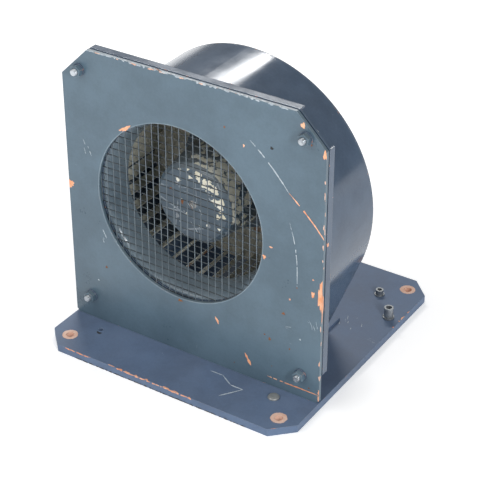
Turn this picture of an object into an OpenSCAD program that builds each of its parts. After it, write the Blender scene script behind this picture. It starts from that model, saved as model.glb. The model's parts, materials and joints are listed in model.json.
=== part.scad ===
// Direct-current blower: a forward-curved wheel turns in a scroll housing, draws air in through a
// round guarded inlet and blows it down through an opening in the base plate.
// Millimetres. The inlet faces -Y, +Z is up, and the origin lies under the middle of the base plate.

/* [Base plate] */
// Width along X of the base plate, the front cover and the sheet behind it
base_w = 350; // [340:1:400]
// Depth along Y
base_d = 361; // [345:1:420]
// Thickness
base_t = 10; // [6:0.5:16]
// Length of each corner cut along either edge
base_cut = 25; // [12:1:30]
// Diameter of the four fixing holes
foot_hole_d = 10.5; // [6.6:0.1:13]
// Distance of the fixing holes from the left and right edges
foot_inset_x = 25; // [23:0.5:32]
// Distance of the fixing holes from the front and rear edges
foot_inset_y = 24.5; // [21:0.5:30]

/* [Screws in the base plate] */
// Distance of the inner screws from the left and right edges
inner_inset_x = 50; // [45:0.5:53]
// Distance of the inner screws from the front and rear edges
inner_inset_y = 53.5; // [50:0.5:56]
// Thread diameter of the inner screws
inner_d = 6; // [4:0.5:8]
// Head diameter of the low round screw
button_head_d = 14; // [11:0.5:17]
// Head height of the low round screw
button_head_h = 3.2; // [2:0.1:5]
// Head diameter of the socket screws
socket_head_d = 10; // [9:0.5:13]
// Head height of the socket screws
socket_head_h = 6; // [4:0.5:9]
// Diameter of the socket screws' washers
socket_washer_d = 13; // [12:0.5:17]
// Thickness of the socket screws' washers
socket_washer_t = 1.6; // [1:0.1:2.5]
// Width across the flats of the sockets
socket_af = 5; // [3:0.5:6]
// Distance of the earth screw from the right edge
earth_inset_x = 16; // [12:0.5:20]
// Distance of the earth screw from the rear edge
earth_inset_y = 92.5; // [75:0.5:120]
// Thread diameter of the earth screw
earth_d = 8; // [6:0.5:8.5]
// Head diameter of the earth screw
earth_head_d = 11.6; // [10:0.2:14]
// Head height of the earth screw
earth_head_h = 13; // [8:0.5:16]
// Diameter of the recess in the earth screw's head
earth_recess_d = 7.4; // [5:0.1:8.4]
// Thickness of the earth screw's split washer
earth_washer_t = 2.2; // [1.5:0.1:3]
// Outer diameter of the earth screw's split washer
earth_washer_d = 14.4; // [14:0.2:17]

/* [Front cover] */
// Height of the front cover and of the sheet behind it
cover_h = 366.8; // [358:0.1:390]
// Thickness of the front cover
cover_t = 4; // [2:0.5:6]
// Length of the corner cuts along either edge
cover_cut = 37.6; // [20:0.2:44]
// Distance of the cover's front face from the base plate's front edge
face_inset = 71.2; // [66:0.1:80]
// Diameter of the round inlet in the cover
inlet_d = 227; // [215:1:236]
// Distance of the studs from the cover's left and right edges
stud_inset = 25; // [19:0.5:27]
// Distance of the upper studs from the cover's top edge
stud_top_inset = 27.8; // [26:0.2:30]
// Height of the lower studs above the base plate
stud_low = 32; // [28:0.5:38]
// Thread diameter of the cover's studs
stud_d = 8; // [6:0.5:10]
// Length of stud that stands out of the cover's nut
stud_proud = 3.6; // [1:0.2:6]

/* [Guard mesh] */
// Spacing of the mesh's wires
mesh_pitch = 9.4; // [8:0.1:14]
// Diameter of a wire
wire_d = 1.2; // [1:0.1:2]
// Width and height of the square of mesh
mesh_w = 250; // [240:1:262]

/* [Scroll housing] */
// Thickness of the sheet that the housing is welded from
sheet_t = 2; // [1.5:0.1:3]
// Depth of the folded lips round the front sheet
lip_d = 10; // [6:0.5:16]
// Position of the wheel's axis along X
axis_x = -16.7; // [-20:0.1:-12]
// Height of the wheel's axis above the base plate
axis_h = 190; // [186:0.5:194]
// Depth of the scroll behind the front sheet, with its back
scroll_d = 126; // [122:0.5:140]
// Distance from the axis to the top of the scroll
scroll_top = 161; // [158:0.5:162]
// Side of the square that holds the centres of the scroll's four arcs
scroll_step = 18.6; // [16:0.2:19]
// Lean of the straight outer wall below the last arc, in degrees
wall_lean = 21.5; // [18:0.5:24]
// Distance from the axis to the inner wall of the outlet
outlet_side = 71; // [64:0.5:76]
// Radius of the rounded tongue where the scroll begins
tongue_r = 4; // [3:0.5:6]
// Thickness of the flat bars round the outlet
bar_t = 4; // [3:0.5:8]
// Width of the side bars
side_bar_w = 5.4; // [4:0.2:10]
// Width of the rear bar
rear_bar_w = 25; // [15:0.5:30]

/* [Inlet cone] */
// Depth of the cone behind the front sheet's face
cone_d = 38.6; // [30:0.2:44]
// Inner diameter of the cone's throat
throat_d = 208; // [200:0.5:209]
// Thickness of the cone's metal
cone_t = 1.5; // [1:0.1:2]
// Width of the cone's flat rim outside the inlet
cone_rim_w = 11; // [8:0.5:12]

/* [Wheel] */
// Outer diameter of the wheel
wheel_d = 240; // [238:0.5:246]
// Radial clearance between the cone's throat and the wheel
throat_gap = 2; // [1:0.1:2.6]
// Length of the throat that reaches into the wheel
throat_reach = 5; // [3:0.2:8]
// Clearance between the wheel's back and the housing's back
rear_gap = 10; // [9:0.5:14]
// Number of blades
blade_count = 36; // [28:1:40]
// Thickness of a blade
blade_t = 0.9; // [0.7:0.1:1.4]
// Radius of a blade's curve
blade_curve_r = 12; // [11:0.2:13]
// Angle at the tip between a blade and the wheel's rim, in degrees
blade_exit = 35; // [30:1:40]
// Thickness of the wheel's front ring and back disc
disc_t = 1.5; // [1:0.1:2]
// Depth of the wheel's cup behind the inlet's face
cup_setback = 29; // [26:0.5:34]
// Diameter of the cup's flat face
cup_face_d = 93; // [88:0.5:97]
// Length of the bevel round the cup's face
cup_bevel = 5; // [3:0.5:7]
// Diameter of the cup where it meets the back disc
cup_root_d = 126; // [120:1:132]
// Thickness of the cup's metal
cup_t = 2; // [1.5:0.1:2.5]
// Width of the cup's flat rim on the back disc
cup_rim_w = 10; // [8:0.5:14]
// Number of rivets round the cup's rim
rivet_count = 8; // [6:1:12]
// Number of screws that hold the boss to the cup
cup_screw_count = 4; // [3:1:6]
// Diameter of the circle of screws that hold the boss to the cup
cup_screw_circle_d = 62; // [56:0.5:66]

/* [Motor] */
// Outer diameter of the motor's tube
motor_d = 88; // [84:0.5:92]
// Wall of the motor's tube
motor_wall = 4; // [3:0.2:5]
// Length of tube in front of the housing's back
tube_front = 66; // [62:0.5:68]
// Length of tube behind the housing's back
tube_rear = 48; // [46:0.5:56]
// Thickness of the motor's end shields
shield_t = 6; // [5:0.5:9]
// Diameter of the motor's mounting flange
flange_d = 136; // [130:1:140]
// Thickness of the motor's mounting flange
flange_t = 8; // [6:0.5:10]
// Diameter of the circle of flange screws
flange_circle_d = 114; // [110:0.5:118]
// Thread diameter of the flange screws
flange_screw_d = 6; // [5:0.5:6.5]
// Diameter of the shaft in the front bearing
shaft_d = 15; // [14:0.5:17]
// Diameter of the shaft in the rear bearing
shaft_rear_d = 10; // [9:0.5:12]
// Outer diameter of the front bearing
bearing_front_d = 35; // [34:0.5:40]
// Outer diameter of the rear bearing
bearing_rear_d = 30; // [27:0.5:34]
// Width of either bearing
bearing_w = 9; // [8:0.5:11]
// Air gap between the armature and the magnets
air_gap = 1; // [0.6:0.1:1.4]
// Radial thickness of the field magnets
magnet_t = 7; // [5:0.5:8]
// Length of the field magnets and of the armature's core
core_l = 50; // [44:1:52]
// Number of slots in the armature
slot_count = 14; // [10:2:18]
// Diameter of the commutator
commutator_d = 26; // [24:0.5:28]
// Number of the commutator's segments
segment_count = 28; // [20:2:32]

/* [Terminal box] */
// Height of the terminal box along Z
box_h = 44; // [38:1:50]
// Depth of the terminal box along Y
box_d = 30; // [26:1:32]
// Reach of the terminal box from the motor's tube
box_reach = 26; // [20:1:32]
// Wall of the terminal box
box_wall = 2.5; // [2:0.1:3]
// Thread diameter of the cable gland
gland_d = 16; // [12:0.5:18]

/* [Hidden] */
$fn = 96;
eps = 0.01;

// Colours
paint_grey = [0.40, 0.46, 0.52];
base_blue = [0.38, 0.44, 0.53];
zinc = [0.70, 0.71, 0.70];
raw_steel = [0.55, 0.55, 0.54];
dusty_steel = [0.62, 0.58, 0.48];
cast_alloy = [0.66, 0.67, 0.68];
copper = [0.72, 0.42, 0.25];
brass = [0.78, 0.64, 0.34];
carbon = [0.16, 0.16, 0.17];
ferrite = [0.24, 0.24, 0.26];
phenolic = [0.38, 0.24, 0.16];
black_plastic = [0.10, 0.10, 0.11];

// Places of the holes, from the middle of the plates
foot_x = base_w / 2 - foot_inset_x;
foot_y = base_d / 2 - foot_inset_y;
inner_x = base_w / 2 - inner_inset_x;
inner_y = base_d / 2 - inner_inset_y;
earth_x = base_w / 2 - earth_inset_x;
earth_y = base_d / 2 - earth_inset_y;
stud_x = base_w / 2 - stud_inset;
stud_high = cover_h - stud_top_inset;
face_y = -base_d / 2 + face_inset;

// Places along Y, from the inlet's face to the rear
cover_rear = face_y + cover_t;
sheet_front = cover_rear + 2 * wire_d;
sheet_rear = sheet_front + sheet_t;
lip_rear = sheet_front + lip_d;
back_rear = sheet_rear + scroll_d;
back_front = back_rear - sheet_t;
cone_end = sheet_front + cone_d;
wheel_front = cone_end - throat_reach;
wheel_rear = back_front - rear_gap;
cup_face = face_y + cup_setback;
tube_start = back_front - tube_front;
tube_end = back_rear + tube_rear;
shield_front = tube_start - shield_t;
shield_rear = tube_end + shield_t;

// Scroll: four arcs whose centres are the corners of a square about the wheel's axis
axis_z = base_t + axis_h;
half_step = scroll_step / 2;
arc_top_left = scroll_top - half_step;
arc_top_right = arc_top_left + scroll_step;
arc_low_right = arc_top_right + scroll_step;
arc_low_left = arc_top_left - scroll_step;

// Screws in the base plate
earth_recess_floor = earth_head_h * 0.4;
split_w = 1.2;
split_turn = 200;

// Fasteners of the front cover
stud_af = 13;
stud_head_h = 5.3;
stud_clear = 0.6;
nut_h = 6.5;
washer_d = 16;
washer_t = 1.6;
spacer_d = 14;
stud_end = face_y - washer_t - nut_h - stud_proud;
cover_edge_cut = 4;

// Inlet cone: the angle between the points of its curve
bell_step = 9;

// Wheel
cone_out_r = throat_d / 2 + cone_t;
eye_r = cone_out_r + throat_gap;
blade_root_gap = 0.5;
blade_root_r = eye_r + blade_root_gap;
tip_r = wheel_d / 2;
rivet_d = 5;
rivet_head_d = 8;
rivet_head_h = 1.6;
rivet_circle_r = cup_root_d / 2 + cup_rim_w / 2;
boss_flange_t = 5;
boss_r = 13;
boss_l = 22;
diagonal = 45;
cup_screw_d = 5;
cup_screw_af = 8;
boss_flange_r = cup_screw_circle_d / 2 + cup_screw_af;
cup_screw_head_h = 3.5;
shaft_tip_d = 10;
tip_setback = 0.4;
grub_d = 5;
grub_socket_af = 2.5;
grub_socket_floor = 3;
key_w = 4;
key_l = 14;
grub_y = cup_face + cup_t + boss_flange_t + key_l / 2;

// Motor
motor_r = motor_d / 2;
tube_r = motor_r - motor_wall;
spigot_gap = 1.5;
magnet_in_r = tube_r - magnet_t;
magnet_half_arc = 62;
core_r = magnet_in_r - air_gap;
core_forward = 6;
core_mid = (tube_start + tube_end) / 2 - core_forward;
core_front = core_mid - core_l / 2;
slot_depth = 11;
slot_mouth_w = 1.6;
slot_lip = 3.2;
slot_half_w = 2.2;
slot_liner = 0.2;
core_rear = core_mid + core_l / 2;
coil_h = 10;
commutator_l = 15;
commutator_gap = 2;
commutator_front = core_rear + coil_h + commutator_gap;
commutator_rear = commutator_front + commutator_l;
seat_wall = 3.5;
seat_r_front = bearing_front_d / 2 + seat_wall;
seat_r_rear = bearing_rear_d / 2 + seat_wall;
bearing_front_y = tube_start;
bearing_rear_y = tube_end - bearing_w;
ball_count = 9;
ball_share = 0.6;
land_share = 0.55;
run_gap = 0.1;
shaft_core_d = shaft_d + 4;
journal_step = 1.5;
flange_nut_h = 5;
flange_nut_af = 10;
flange_head_d = 10;
flange_head_h = 6;
back_hole_gap = 1;
tie_d = 4;
tie_head_d = 7;
tie_head_h = 3;
tie_nut_af = 7;
tie_nut_h = 3.2;
tie_angle = 22;
tie_circle_r = tube_r - tie_d / 2 - spigot_gap;
brush_w = 7;
brush_len = 13;
brush_gap = 0.15;
brush_face_gap = 0.05;
holder_gap = 1.5;
ring_gap = 3;
holder_wall = 1;
holder_l = 21;
ring_t = 4;
brush_y = (commutator_front + commutator_rear) / 2;
ring_front = brush_y + brush_w / 2 + holder_wall;
spring_d = 5;
spring_wire_d = 0.7;
spring_turns = 5;
box_gap = 2;
box_y = back_rear + flange_t + box_gap;
box_x = -(motor_r + box_reach);
lid_t = 2.5;
lid_inset = 4.5;
lid_post_d = 7;
lid_screw_d = 3;
lid_screw_l = 10;
lid_screw_head_d = 5.5;
lid_screw_head_h = 2;
gland_af = 22;
gland_collar_h = 5;
gland_nut_h = 12;
gland_nut_gap = 2;
gland_inside = 3;
gland_bore_d = gland_d * 0.55;
gland_x = box_x + box_reach / 2;
gland_seat = box_y + box_d;

// ---------- shared shapes ----------

// Raises a flat shape drawn in X and Z from y0 to y1
module along_y(y0, y1) {
    translate([0, y1, 0]) rotate([90, 0, 0]) linear_extrude(y1 - y0) children();
}

// Turns a flat outline of [radius, y] points round the Y axis
module turned_y(points) {
    rotate([-90, 0, 0]) rotate_extrude() polygon(points);
}

// Puts children at the four flange screws
module at_flange_screws() {
    for (turn = [diagonal : 90 : 270 + diagonal])
        rotate([0, turn, 0]) translate([flange_circle_d / 2, 0, 0]) children();
}

// Puts children at the screws that hold the boss to the cup
module at_cup_screws() {
    ring_of(cup_screw_count, diagonal) translate([cup_screw_circle_d / 2, 0, 0]) children();
}

// Puts children at the rivets round the cup's rim
module at_rivets() {
    ring_of(rivet_count) translate([rivet_circle_r, 0, 0]) children();
}

// Puts children on the wheel's axis
module on_axis() {
    translate([axis_x, 0, axis_z]) children();
}

// Repeats children round the Y axis
module ring_of(count, start = 0) {
    for (i = [0 : count - 1]) rotate([0, start + i * 360 / count, 0]) children();
}

// Solid bar of radius r from y0 to y1
module rod_y(r, y0, y1) {
    translate([0, y0, 0]) rotate([-90, 0, 0]) cylinder(r = r, h = y1 - y0);
}

// Tube from y0 to y1
module tube_y(r_out, r_in, y0, y1) {
    difference() {
        rod_y(r_out, y0, y1);
        rod_y(r_in, y0 - 1, y1 + 1);
    }
}

// Hexagonal bar, measured across its flats, from y0 to y1
module hex_y(af, y0, y1) {
    translate([0, y0, 0]) rotate([-90, 0, 0]) cylinder(d = af / cos(30), h = y1 - y0, $fn = 6);
}

// Hexagonal nut from y0 to y1
module nut_y(af, bore_d, y0, y1) {
    difference() {
        hex_y(af, y0, y1);
        rod_y(bore_d / 2, y0 - 1, y1 + 1);
    }
}

// Outline of a plate that stands on the base plate, with its corners cut
module plate_outline(top_cut, low_cut) {
    polygon([
        [-base_w / 2 + low_cut, 0], [base_w / 2 - low_cut, 0],
        [base_w / 2, low_cut], [base_w / 2, cover_h - top_cut],
        [base_w / 2 - top_cut, cover_h], [-base_w / 2 + top_cut, cover_h],
        [-base_w / 2, cover_h - top_cut], [-base_w / 2, low_cut]
    ]);
}

// Places children at the four studs of the cover
module at_studs() {
    for (x = [-stud_x, stud_x], z = [stud_low, stud_high]) translate([x, 0, base_t + z]) children();
}

// ---------- scroll outline ----------

// X of the straight outer wall at height z, both measured from the axis, with the wall moved in
function wall_x(inset, z) =
    let (
        r = arc_low_right - inset,
        start_x = -half_step + r * cos(wall_lean),
        start_z = -half_step - r * sin(wall_lean)
    )
    start_x - (start_z - z) * tan(wall_lean);

// A quarter of a disc about [x, z], from the angle start on. It reaches back a little into the quarter
// before it, which has a larger disc, so that the quarters make one outline.
module quarter_disc(x, z, r, start) {
    translate([x, z]) intersection() {
        circle(r);
        rotate(start) translate([0, -half_step]) square(r + half_step);
    }
}

// The round tongue: fills the corner between the first arc and the inner wall of the outlet
module tongue_corner(inset) {
    r = arc_low_left - inset;
    side = -outlet_side + inset;
    nose_x = side - tongue_r;
    nose_z = half_step - sqrt(pow(r + tongue_r, 2) - pow(nose_x + half_step, 2));
    share = r / (r + tongue_r);
    difference() {
        polygon([
            [side, half_step - sqrt(pow(r, 2) - pow(side + half_step, 2))],
            [-half_step + (nose_x + half_step) * share, half_step + (nose_z - half_step) * share],
            [nose_x, nose_z],
            [side, nose_z]
        ]);
        translate([nose_x, nose_z]) circle(tongue_r);
    }
}

// The air's room in the scroll and its outlet, made smaller by inset, down to floor_z
module scroll_outline(inset, floor_z) {
    r_last = arc_low_right - inset;
    side = -outlet_side + inset;
    arc_foot = half_step - sqrt(pow(arc_low_left - inset, 2) - pow(side + half_step, 2));
    quarter_disc(half_step, -half_step, arc_top_right - inset, 0);
    quarter_disc(half_step, half_step, arc_top_left - inset, 90);
    quarter_disc(-half_step, half_step, arc_low_left - inset, 180);
    translate([-scroll_step, -scroll_step]) square(2 * scroll_step);
    translate([-half_step, -half_step]) intersection() {
        circle(r_last);
        polygon([[0, 0], [2 * r_last, 0], 2 * r_last * [cos(1.5 * wall_lean), -sin(1.5 * wall_lean)]]);
    }
    polygon([
        [0, 0],
        [side, arc_foot],
        [side, floor_z],
        [wall_x(inset, floor_z), floor_z],
        [-half_step + r_last * cos(wall_lean), -half_step - r_last * sin(wall_lean)]
    ]);
}

// ---------- base plate and what stands on it ----------

module base_plate() {
    opening_left = axis_x - outlet_side + sheet_t;
    opening_right = axis_x + wall_x(sheet_t, -axis_h);
    color(base_blue) difference() {
        linear_extrude(base_t) polygon([
            [-base_w / 2 + base_cut, -base_d / 2], [base_w / 2 - base_cut, -base_d / 2],
            [base_w / 2, -base_d / 2 + base_cut], [base_w / 2, base_d / 2 - base_cut],
            [base_w / 2 - base_cut, base_d / 2], [-base_w / 2 + base_cut, base_d / 2],
            [-base_w / 2, base_d / 2 - base_cut], [-base_w / 2, -base_d / 2 + base_cut]
        ]);
        for (x = [-foot_x, foot_x], y = [-foot_y, foot_y])
            translate([x, y, -1]) cylinder(d = foot_hole_d, h = base_t + 2);
        for (x = [-inner_x, inner_x], y = [-inner_y, inner_y])
            translate([x, y, -1]) cylinder(d = inner_d, h = base_t + 2);
        translate([earth_x, earth_y, -1]) cylinder(d = earth_d, h = base_t + 2);
        translate([opening_left, sheet_rear, -1])
            cube([opening_right - opening_left, back_front - sheet_rear, base_t + 2]);
    }
}

module outlet_frame() {
    left = axis_x - outlet_side;
    right = axis_x + wall_x(0, -axis_h);
    right_top = axis_x + wall_x(0, -axis_h + bar_t);
    rear = back_rear + rear_bar_w;
    color(base_blue) {
        along_y(sheet_rear, rear) polygon([
            [right, base_t], [right + side_bar_w, base_t],
            [right + side_bar_w, base_t + bar_t], [right_top, base_t + bar_t]
        ]);
        translate([left - side_bar_w, sheet_rear, base_t]) cube([side_bar_w, rear - sheet_rear, bar_t]);
        translate([left - side_bar_w, back_rear, base_t])
            cube([right - left + 2 * side_bar_w, rear_bar_w, bar_t]);
    }
}

module button_screw() {
    rim_h = button_head_h * 0.35;
    shoulder_h = button_head_h * 0.75;
    shoulder_r = button_head_d * 0.42;
    crown_r = button_head_d * 0.25;
    color(dusty_steel) translate([inner_x, -inner_y, 0]) {
        translate([0, 0, 1]) cylinder(d = inner_d, h = base_t);
        translate([0, 0, base_t]) rotate_extrude() polygon([
            [0, 0], [button_head_d / 2, 0], [button_head_d / 2, rim_h],
            [shoulder_r, shoulder_h], [crown_r, button_head_h], [0, button_head_h]
        ]);
    }
}

module socket_screws() {
    seat = base_t + socket_washer_t;
    color(zinc) for (x = [-inner_x, inner_x]) translate([x, inner_y, 0]) difference() {
        union() {
            translate([0, 0, 1]) cylinder(d = inner_d, h = seat);
            translate([0, 0, seat]) cylinder(d = socket_head_d, h = socket_head_h);
        }
        translate([0, 0, seat + socket_head_h / 2])
            cylinder(d = socket_af / cos(30), h = socket_head_h, $fn = 6);
    }
}

module socket_washers() {
    color(zinc) for (x = [-inner_x, inner_x]) translate([x, inner_y, base_t]) difference() {
        cylinder(d = socket_washer_d, h = socket_washer_t);
        translate([0, 0, -1]) cylinder(d = inner_d, h = socket_washer_t + 2);
    }
}

module earth_screw() {
    head_z = base_t + earth_washer_t;
    color(zinc) translate([earth_x, earth_y, 0]) difference() {
        union() {
            translate([0, 0, 1]) cylinder(d = earth_d, h = head_z);
            translate([0, 0, head_z]) cylinder(d = earth_head_d, h = earth_head_h);
        }
        translate([0, 0, head_z + earth_recess_floor]) cylinder(d = earth_recess_d, h = earth_head_h);
    }
}

module earth_washer() {
    color(zinc) translate([earth_x, earth_y, base_t]) difference() {
        cylinder(d = earth_washer_d, h = earth_washer_t);
        translate([0, 0, -1]) cylinder(d = earth_d, h = earth_washer_t + 2);
        rotate(split_turn) translate([0, -split_w / 2, -1])
            cube([earth_washer_d, split_w, earth_washer_t + 2]);
    }
}

// ---------- front cover and guard ----------

module front_cover() {
    color(paint_grey) difference() {
        translate([0, 0, base_t]) along_y(face_y, cover_rear) plate_outline(cover_cut, cover_edge_cut);
        on_axis() rod_y(inlet_d / 2, face_y - 1, cover_rear + 1);
        at_studs() rod_y((stud_d + stud_clear) / 2, face_y - 1, cover_rear + 1);
    }
}

// Straight wires side by side, centred on the inlet
module wire_row() {
    count = floor(mesh_w / mesh_pitch / 2);
    for (i = [-count : count])
        translate([i * mesh_pitch, 0, -mesh_w / 2]) cylinder(d = wire_d, h = mesh_w, $fn = 16);
}

module mesh_uprights() {
    color(zinc) on_axis() translate([0, cover_rear + wire_d / 2, 0]) wire_row();
}

module mesh_levels() {
    color(zinc) on_axis() translate([0, cover_rear + wire_d * 1.5, 0]) rotate([0, 90, 0]) wire_row();
}

module cover_studs() {
    color(zinc) at_studs() {
        rod_y(stud_d / 2, stud_end, sheet_rear + eps);
        hex_y(stud_af, sheet_rear, sheet_rear + stud_head_h);
    }
}

module cover_spacers() {
    color(zinc) at_studs() tube_y(spacer_d / 2, stud_d / 2, cover_rear, sheet_front);
}

module cover_washers() {
    color(zinc) at_studs() tube_y(washer_d / 2, stud_d / 2, face_y - washer_t, face_y);
}

module cover_nuts() {
    color(zinc) at_studs() nut_y(stud_af, stud_d, face_y - washer_t - nut_h, face_y - washer_t);
}

// ---------- scroll housing ----------

module housing_front() {
    lip_x = base_w / 2;
    color(paint_grey) difference() {
        union() {
            translate([0, 0, base_t])
                along_y(sheet_front, sheet_rear) plate_outline(cover_cut, cover_cut);
            for (x = [-lip_x, lip_x - sheet_t])
                translate([x, sheet_front, base_t + cover_cut])
                    cube([sheet_t, lip_d, cover_h - 2 * cover_cut]);
            translate([-base_w / 2 + cover_cut, sheet_front, base_t + cover_h - sheet_t])
                cube([base_w - 2 * cover_cut, lip_d, sheet_t]);
        }
        on_axis() rod_y(inlet_d / 2, sheet_front - 1, sheet_rear + 1);
        at_studs() rod_y(stud_d / 2, sheet_front - 1, sheet_rear + 1);
    }
}

// The bell mouth: a flat rim behind the front sheet, and a quarter of an ellipse into the throat
module inlet_cone() {
    mouth_r = inlet_d / 2;
    throat_r = throat_d / 2;
    function bell(t, extra) = [
        throat_r + (mouth_r - throat_r) * (1 - sin(t)) + extra,
        sheet_rear + (cone_end - sheet_rear) * (1 - cos(t))
    ];
    inner = [for (t = [0 : bell_step : 90]) bell(t, 0)];
    outer = [for (t = [90 : -bell_step : bell_step]) bell(t, cone_t)];
    color(paint_grey) on_axis() turned_y(concat(inner, outer, [
        [mouth_r + cone_t, sheet_rear + cone_t],
        [mouth_r + cone_rim_w, sheet_rear + cone_t],
        [mouth_r + cone_rim_w, sheet_rear]
    ]));
}

module scroll_wall() {
    color(paint_grey) on_axis() along_y(sheet_rear, back_front) difference() {
        scroll_outline(0, -axis_h);
        scroll_outline(sheet_t, -axis_h - 1);
        tongue_corner(sheet_t);
    }
}

module scroll_back() {
    color(paint_grey) on_axis() difference() {
        along_y(back_front, back_rear) scroll_outline(0, -axis_h);
        rod_y(motor_r + back_hole_gap, back_front - 1, back_rear + 1);
        at_flange_screws() rod_y(flange_screw_d / 2, back_front - 1, back_rear + 1);
    }
}

// ---------- wheel ----------

module wheel_cup() {
    face_r = cup_face_d / 2;
    root_r = cup_root_d / 2;
    shoulder_r = face_r + cup_bevel;
    seat = wheel_rear - disc_t;
    color(paint_grey) on_axis() difference() {
        turned_y([
            [shaft_tip_d / 2, cup_face], [face_r, cup_face], [shoulder_r, cup_face + cup_bevel],
            [root_r, seat - cup_t], [root_r + cup_rim_w, seat - cup_t], [root_r + cup_rim_w, seat],
            [root_r - cup_t, seat], [shoulder_r - cup_t, cup_face + cup_bevel + cup_t / 2],
            [face_r - cup_t / 2, cup_face + cup_t], [shaft_tip_d / 2, cup_face + cup_t]
        ]);
        at_cup_screws() rod_y(cup_screw_d / 2, cup_face - 1, cup_face + cup_t + 1);
        at_rivets() rod_y(rivet_d / 2, seat - cup_t - 1, seat + 1);
    }
}

module wheel_back() {
    color(dusty_steel) on_axis() difference() {
        tube_y(tip_r, cup_root_d / 2 - cup_t, wheel_rear - disc_t, wheel_rear);
        at_rivets() rod_y(rivet_d / 2, wheel_rear - disc_t - 1, wheel_rear + 1);
    }
}

module wheel_ring() {
    color(dusty_steel) on_axis() tube_y(tip_r, eye_r, wheel_front, wheel_front + disc_t);
}

// One forward-curved blade, drawn flat: an arc clipped between the wheel's eye and its rim
module blade_outline() {
    centre_x = sqrt(pow(tip_r, 2) + pow(blade_curve_r, 2) - 2 * tip_r * blade_curve_r * cos(blade_exit));
    intersection() {
        difference() {
            circle(tip_r);
            circle(blade_root_r);
        }
        translate([centre_x, 0]) difference() {
            circle(blade_curve_r + blade_t / 2);
            circle(blade_curve_r - blade_t / 2);
        }
        square(tip_r);
    }
}

module wheel_blades() {
    color(dusty_steel) on_axis() ring_of(blade_count)
        along_y(wheel_front + disc_t, wheel_rear - disc_t) blade_outline();
}

module wheel_rivets() {
    seat = wheel_rear - disc_t;
    color(zinc) on_axis() at_rivets() {
        rod_y(rivet_d / 2, seat - cup_t, wheel_rear);
        rod_y(rivet_head_d / 2, seat - cup_t - rivet_head_h, seat - cup_t);
        rod_y(rivet_head_d / 2, wheel_rear, wheel_rear + rivet_head_h);
    }
}

module wheel_boss() {
    start = cup_face + cup_t;
    color(cast_alloy) on_axis() difference() {
        union() {
            rod_y(boss_flange_r, start, start + boss_flange_t);
            rod_y(boss_r, start, start + boss_l);
        }
        rod_y(shaft_d / 2, start - 1, start + boss_l + 1);
        translate([-key_w / 2, start + boss_flange_t, 0]) cube([key_w, key_l, shaft_d / 2 + key_w / 2]);
        translate([0, grub_y, 0]) rotate([0, 90, 0]) cylinder(d = grub_d, h = boss_r + 1);
        at_cup_screws() rod_y(cup_screw_d / 2, start - 1, start + boss_flange_t + 1);
    }
}

// Screws put in from behind the boss's flange, which end just short of the cup's face
module cup_screws() {
    seat = cup_face + cup_t + boss_flange_t;
    color(zinc) on_axis() at_cup_screws() {
        hex_y(cup_screw_af, seat, seat + cup_screw_head_h);
        rod_y(cup_screw_d / 2, cup_face + tip_setback, seat + eps);
    }
}

// Screw in the boss's side that holds the shaft, turned a quarter from the key
module boss_grub_screw() {
    socket_d = grub_socket_af / cos(30);
    color(zinc) on_axis() translate([shaft_d / 2, grub_y, 0]) rotate([0, 90, 0]) difference() {
        cylinder(d = grub_d, h = boss_r - shaft_d / 2);
        translate([0, 0, grub_socket_floor]) cylinder(d = socket_d, h = boss_r, $fn = 6);
    }
}

// ---------- motor: turning pieces ----------

module motor_shaft() {
    tip = cup_face + tip_setback;
    boss_start = cup_face + cup_t;
    front_journal = bearing_front_y + bearing_w;
    color(raw_steel) on_axis() difference() {
        union() {
            rod_y(shaft_tip_d / 2, tip, boss_start + eps);
            rod_y(shaft_d / 2, boss_start, front_journal + eps);
            rod_y(shaft_core_d / 2, front_journal, bearing_rear_y);
            rod_y(shaft_rear_d / 2, bearing_rear_y - eps, tube_end);
        }
        translate([-key_w / 2, boss_start + boss_flange_t, shaft_d / 2 - key_w / 2])
            cube([key_w, key_l, key_w]);
    }
}

module drive_key() {
    color(raw_steel) on_axis()
        translate([-key_w / 2, cup_face + cup_t + boss_flange_t, shaft_d / 2 - key_w / 2])
            cube([key_w, key_l, key_w]);
}

module armature_core() {
    slot_floor = core_r - slot_depth;
    color(ferrite) on_axis() along_y(core_front, core_rear) difference() {
        circle(core_r);
        circle(d = shaft_core_d);
        for (i = [0 : slot_count - 1]) rotate(i * 360 / slot_count) {
            translate([slot_floor, -slot_half_w]) square([slot_depth - slot_lip, 2 * slot_half_w]);
            translate([slot_floor, -slot_mouth_w / 2]) square([slot_depth + 1, slot_mouth_w]);
        }
    }
}

module armature_coils() {
    bar_half_w = slot_half_w - slot_liner;
    head_r = core_r - slot_lip;
    head_in_r = shaft_core_d / 2 + 1;
    round_r = 4;
    color(copper) on_axis() {
        for (i = [0 : slot_count - 1]) rotate([0, -i * 360 / slot_count, 0])
            translate([core_r - slot_depth, core_front - 1, -bar_half_w])
                cube([slot_depth - slot_lip, core_l + 2, 2 * bar_half_w]);
        for (end = [[core_front, -1], [core_rear, 1]])
            turned_y([
                [head_in_r, end[0]], [head_r, end[0]],
                for (a = [0 : 15 : 90])
                    [
                        head_r - round_r * (1 - cos(a)),
                        end[0] + end[1] * (coil_h - round_r * (1 - sin(a)))
                    ],
                [head_in_r, end[0] + end[1] * coil_h]
            ]);
    }
}

module commutator() {
    slit_w = 0.6;
    slit_depth = 1.5;
    color(copper) on_axis() along_y(commutator_front, commutator_rear) difference() {
        circle(d = commutator_d);
        circle(d = shaft_core_d);
        for (i = [0 : segment_count - 1]) rotate(i * 360 / segment_count)
            translate([commutator_d / 2 - slit_depth, -slit_w / 2]) square([slit_depth + 1, slit_w]);
    }
}

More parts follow.
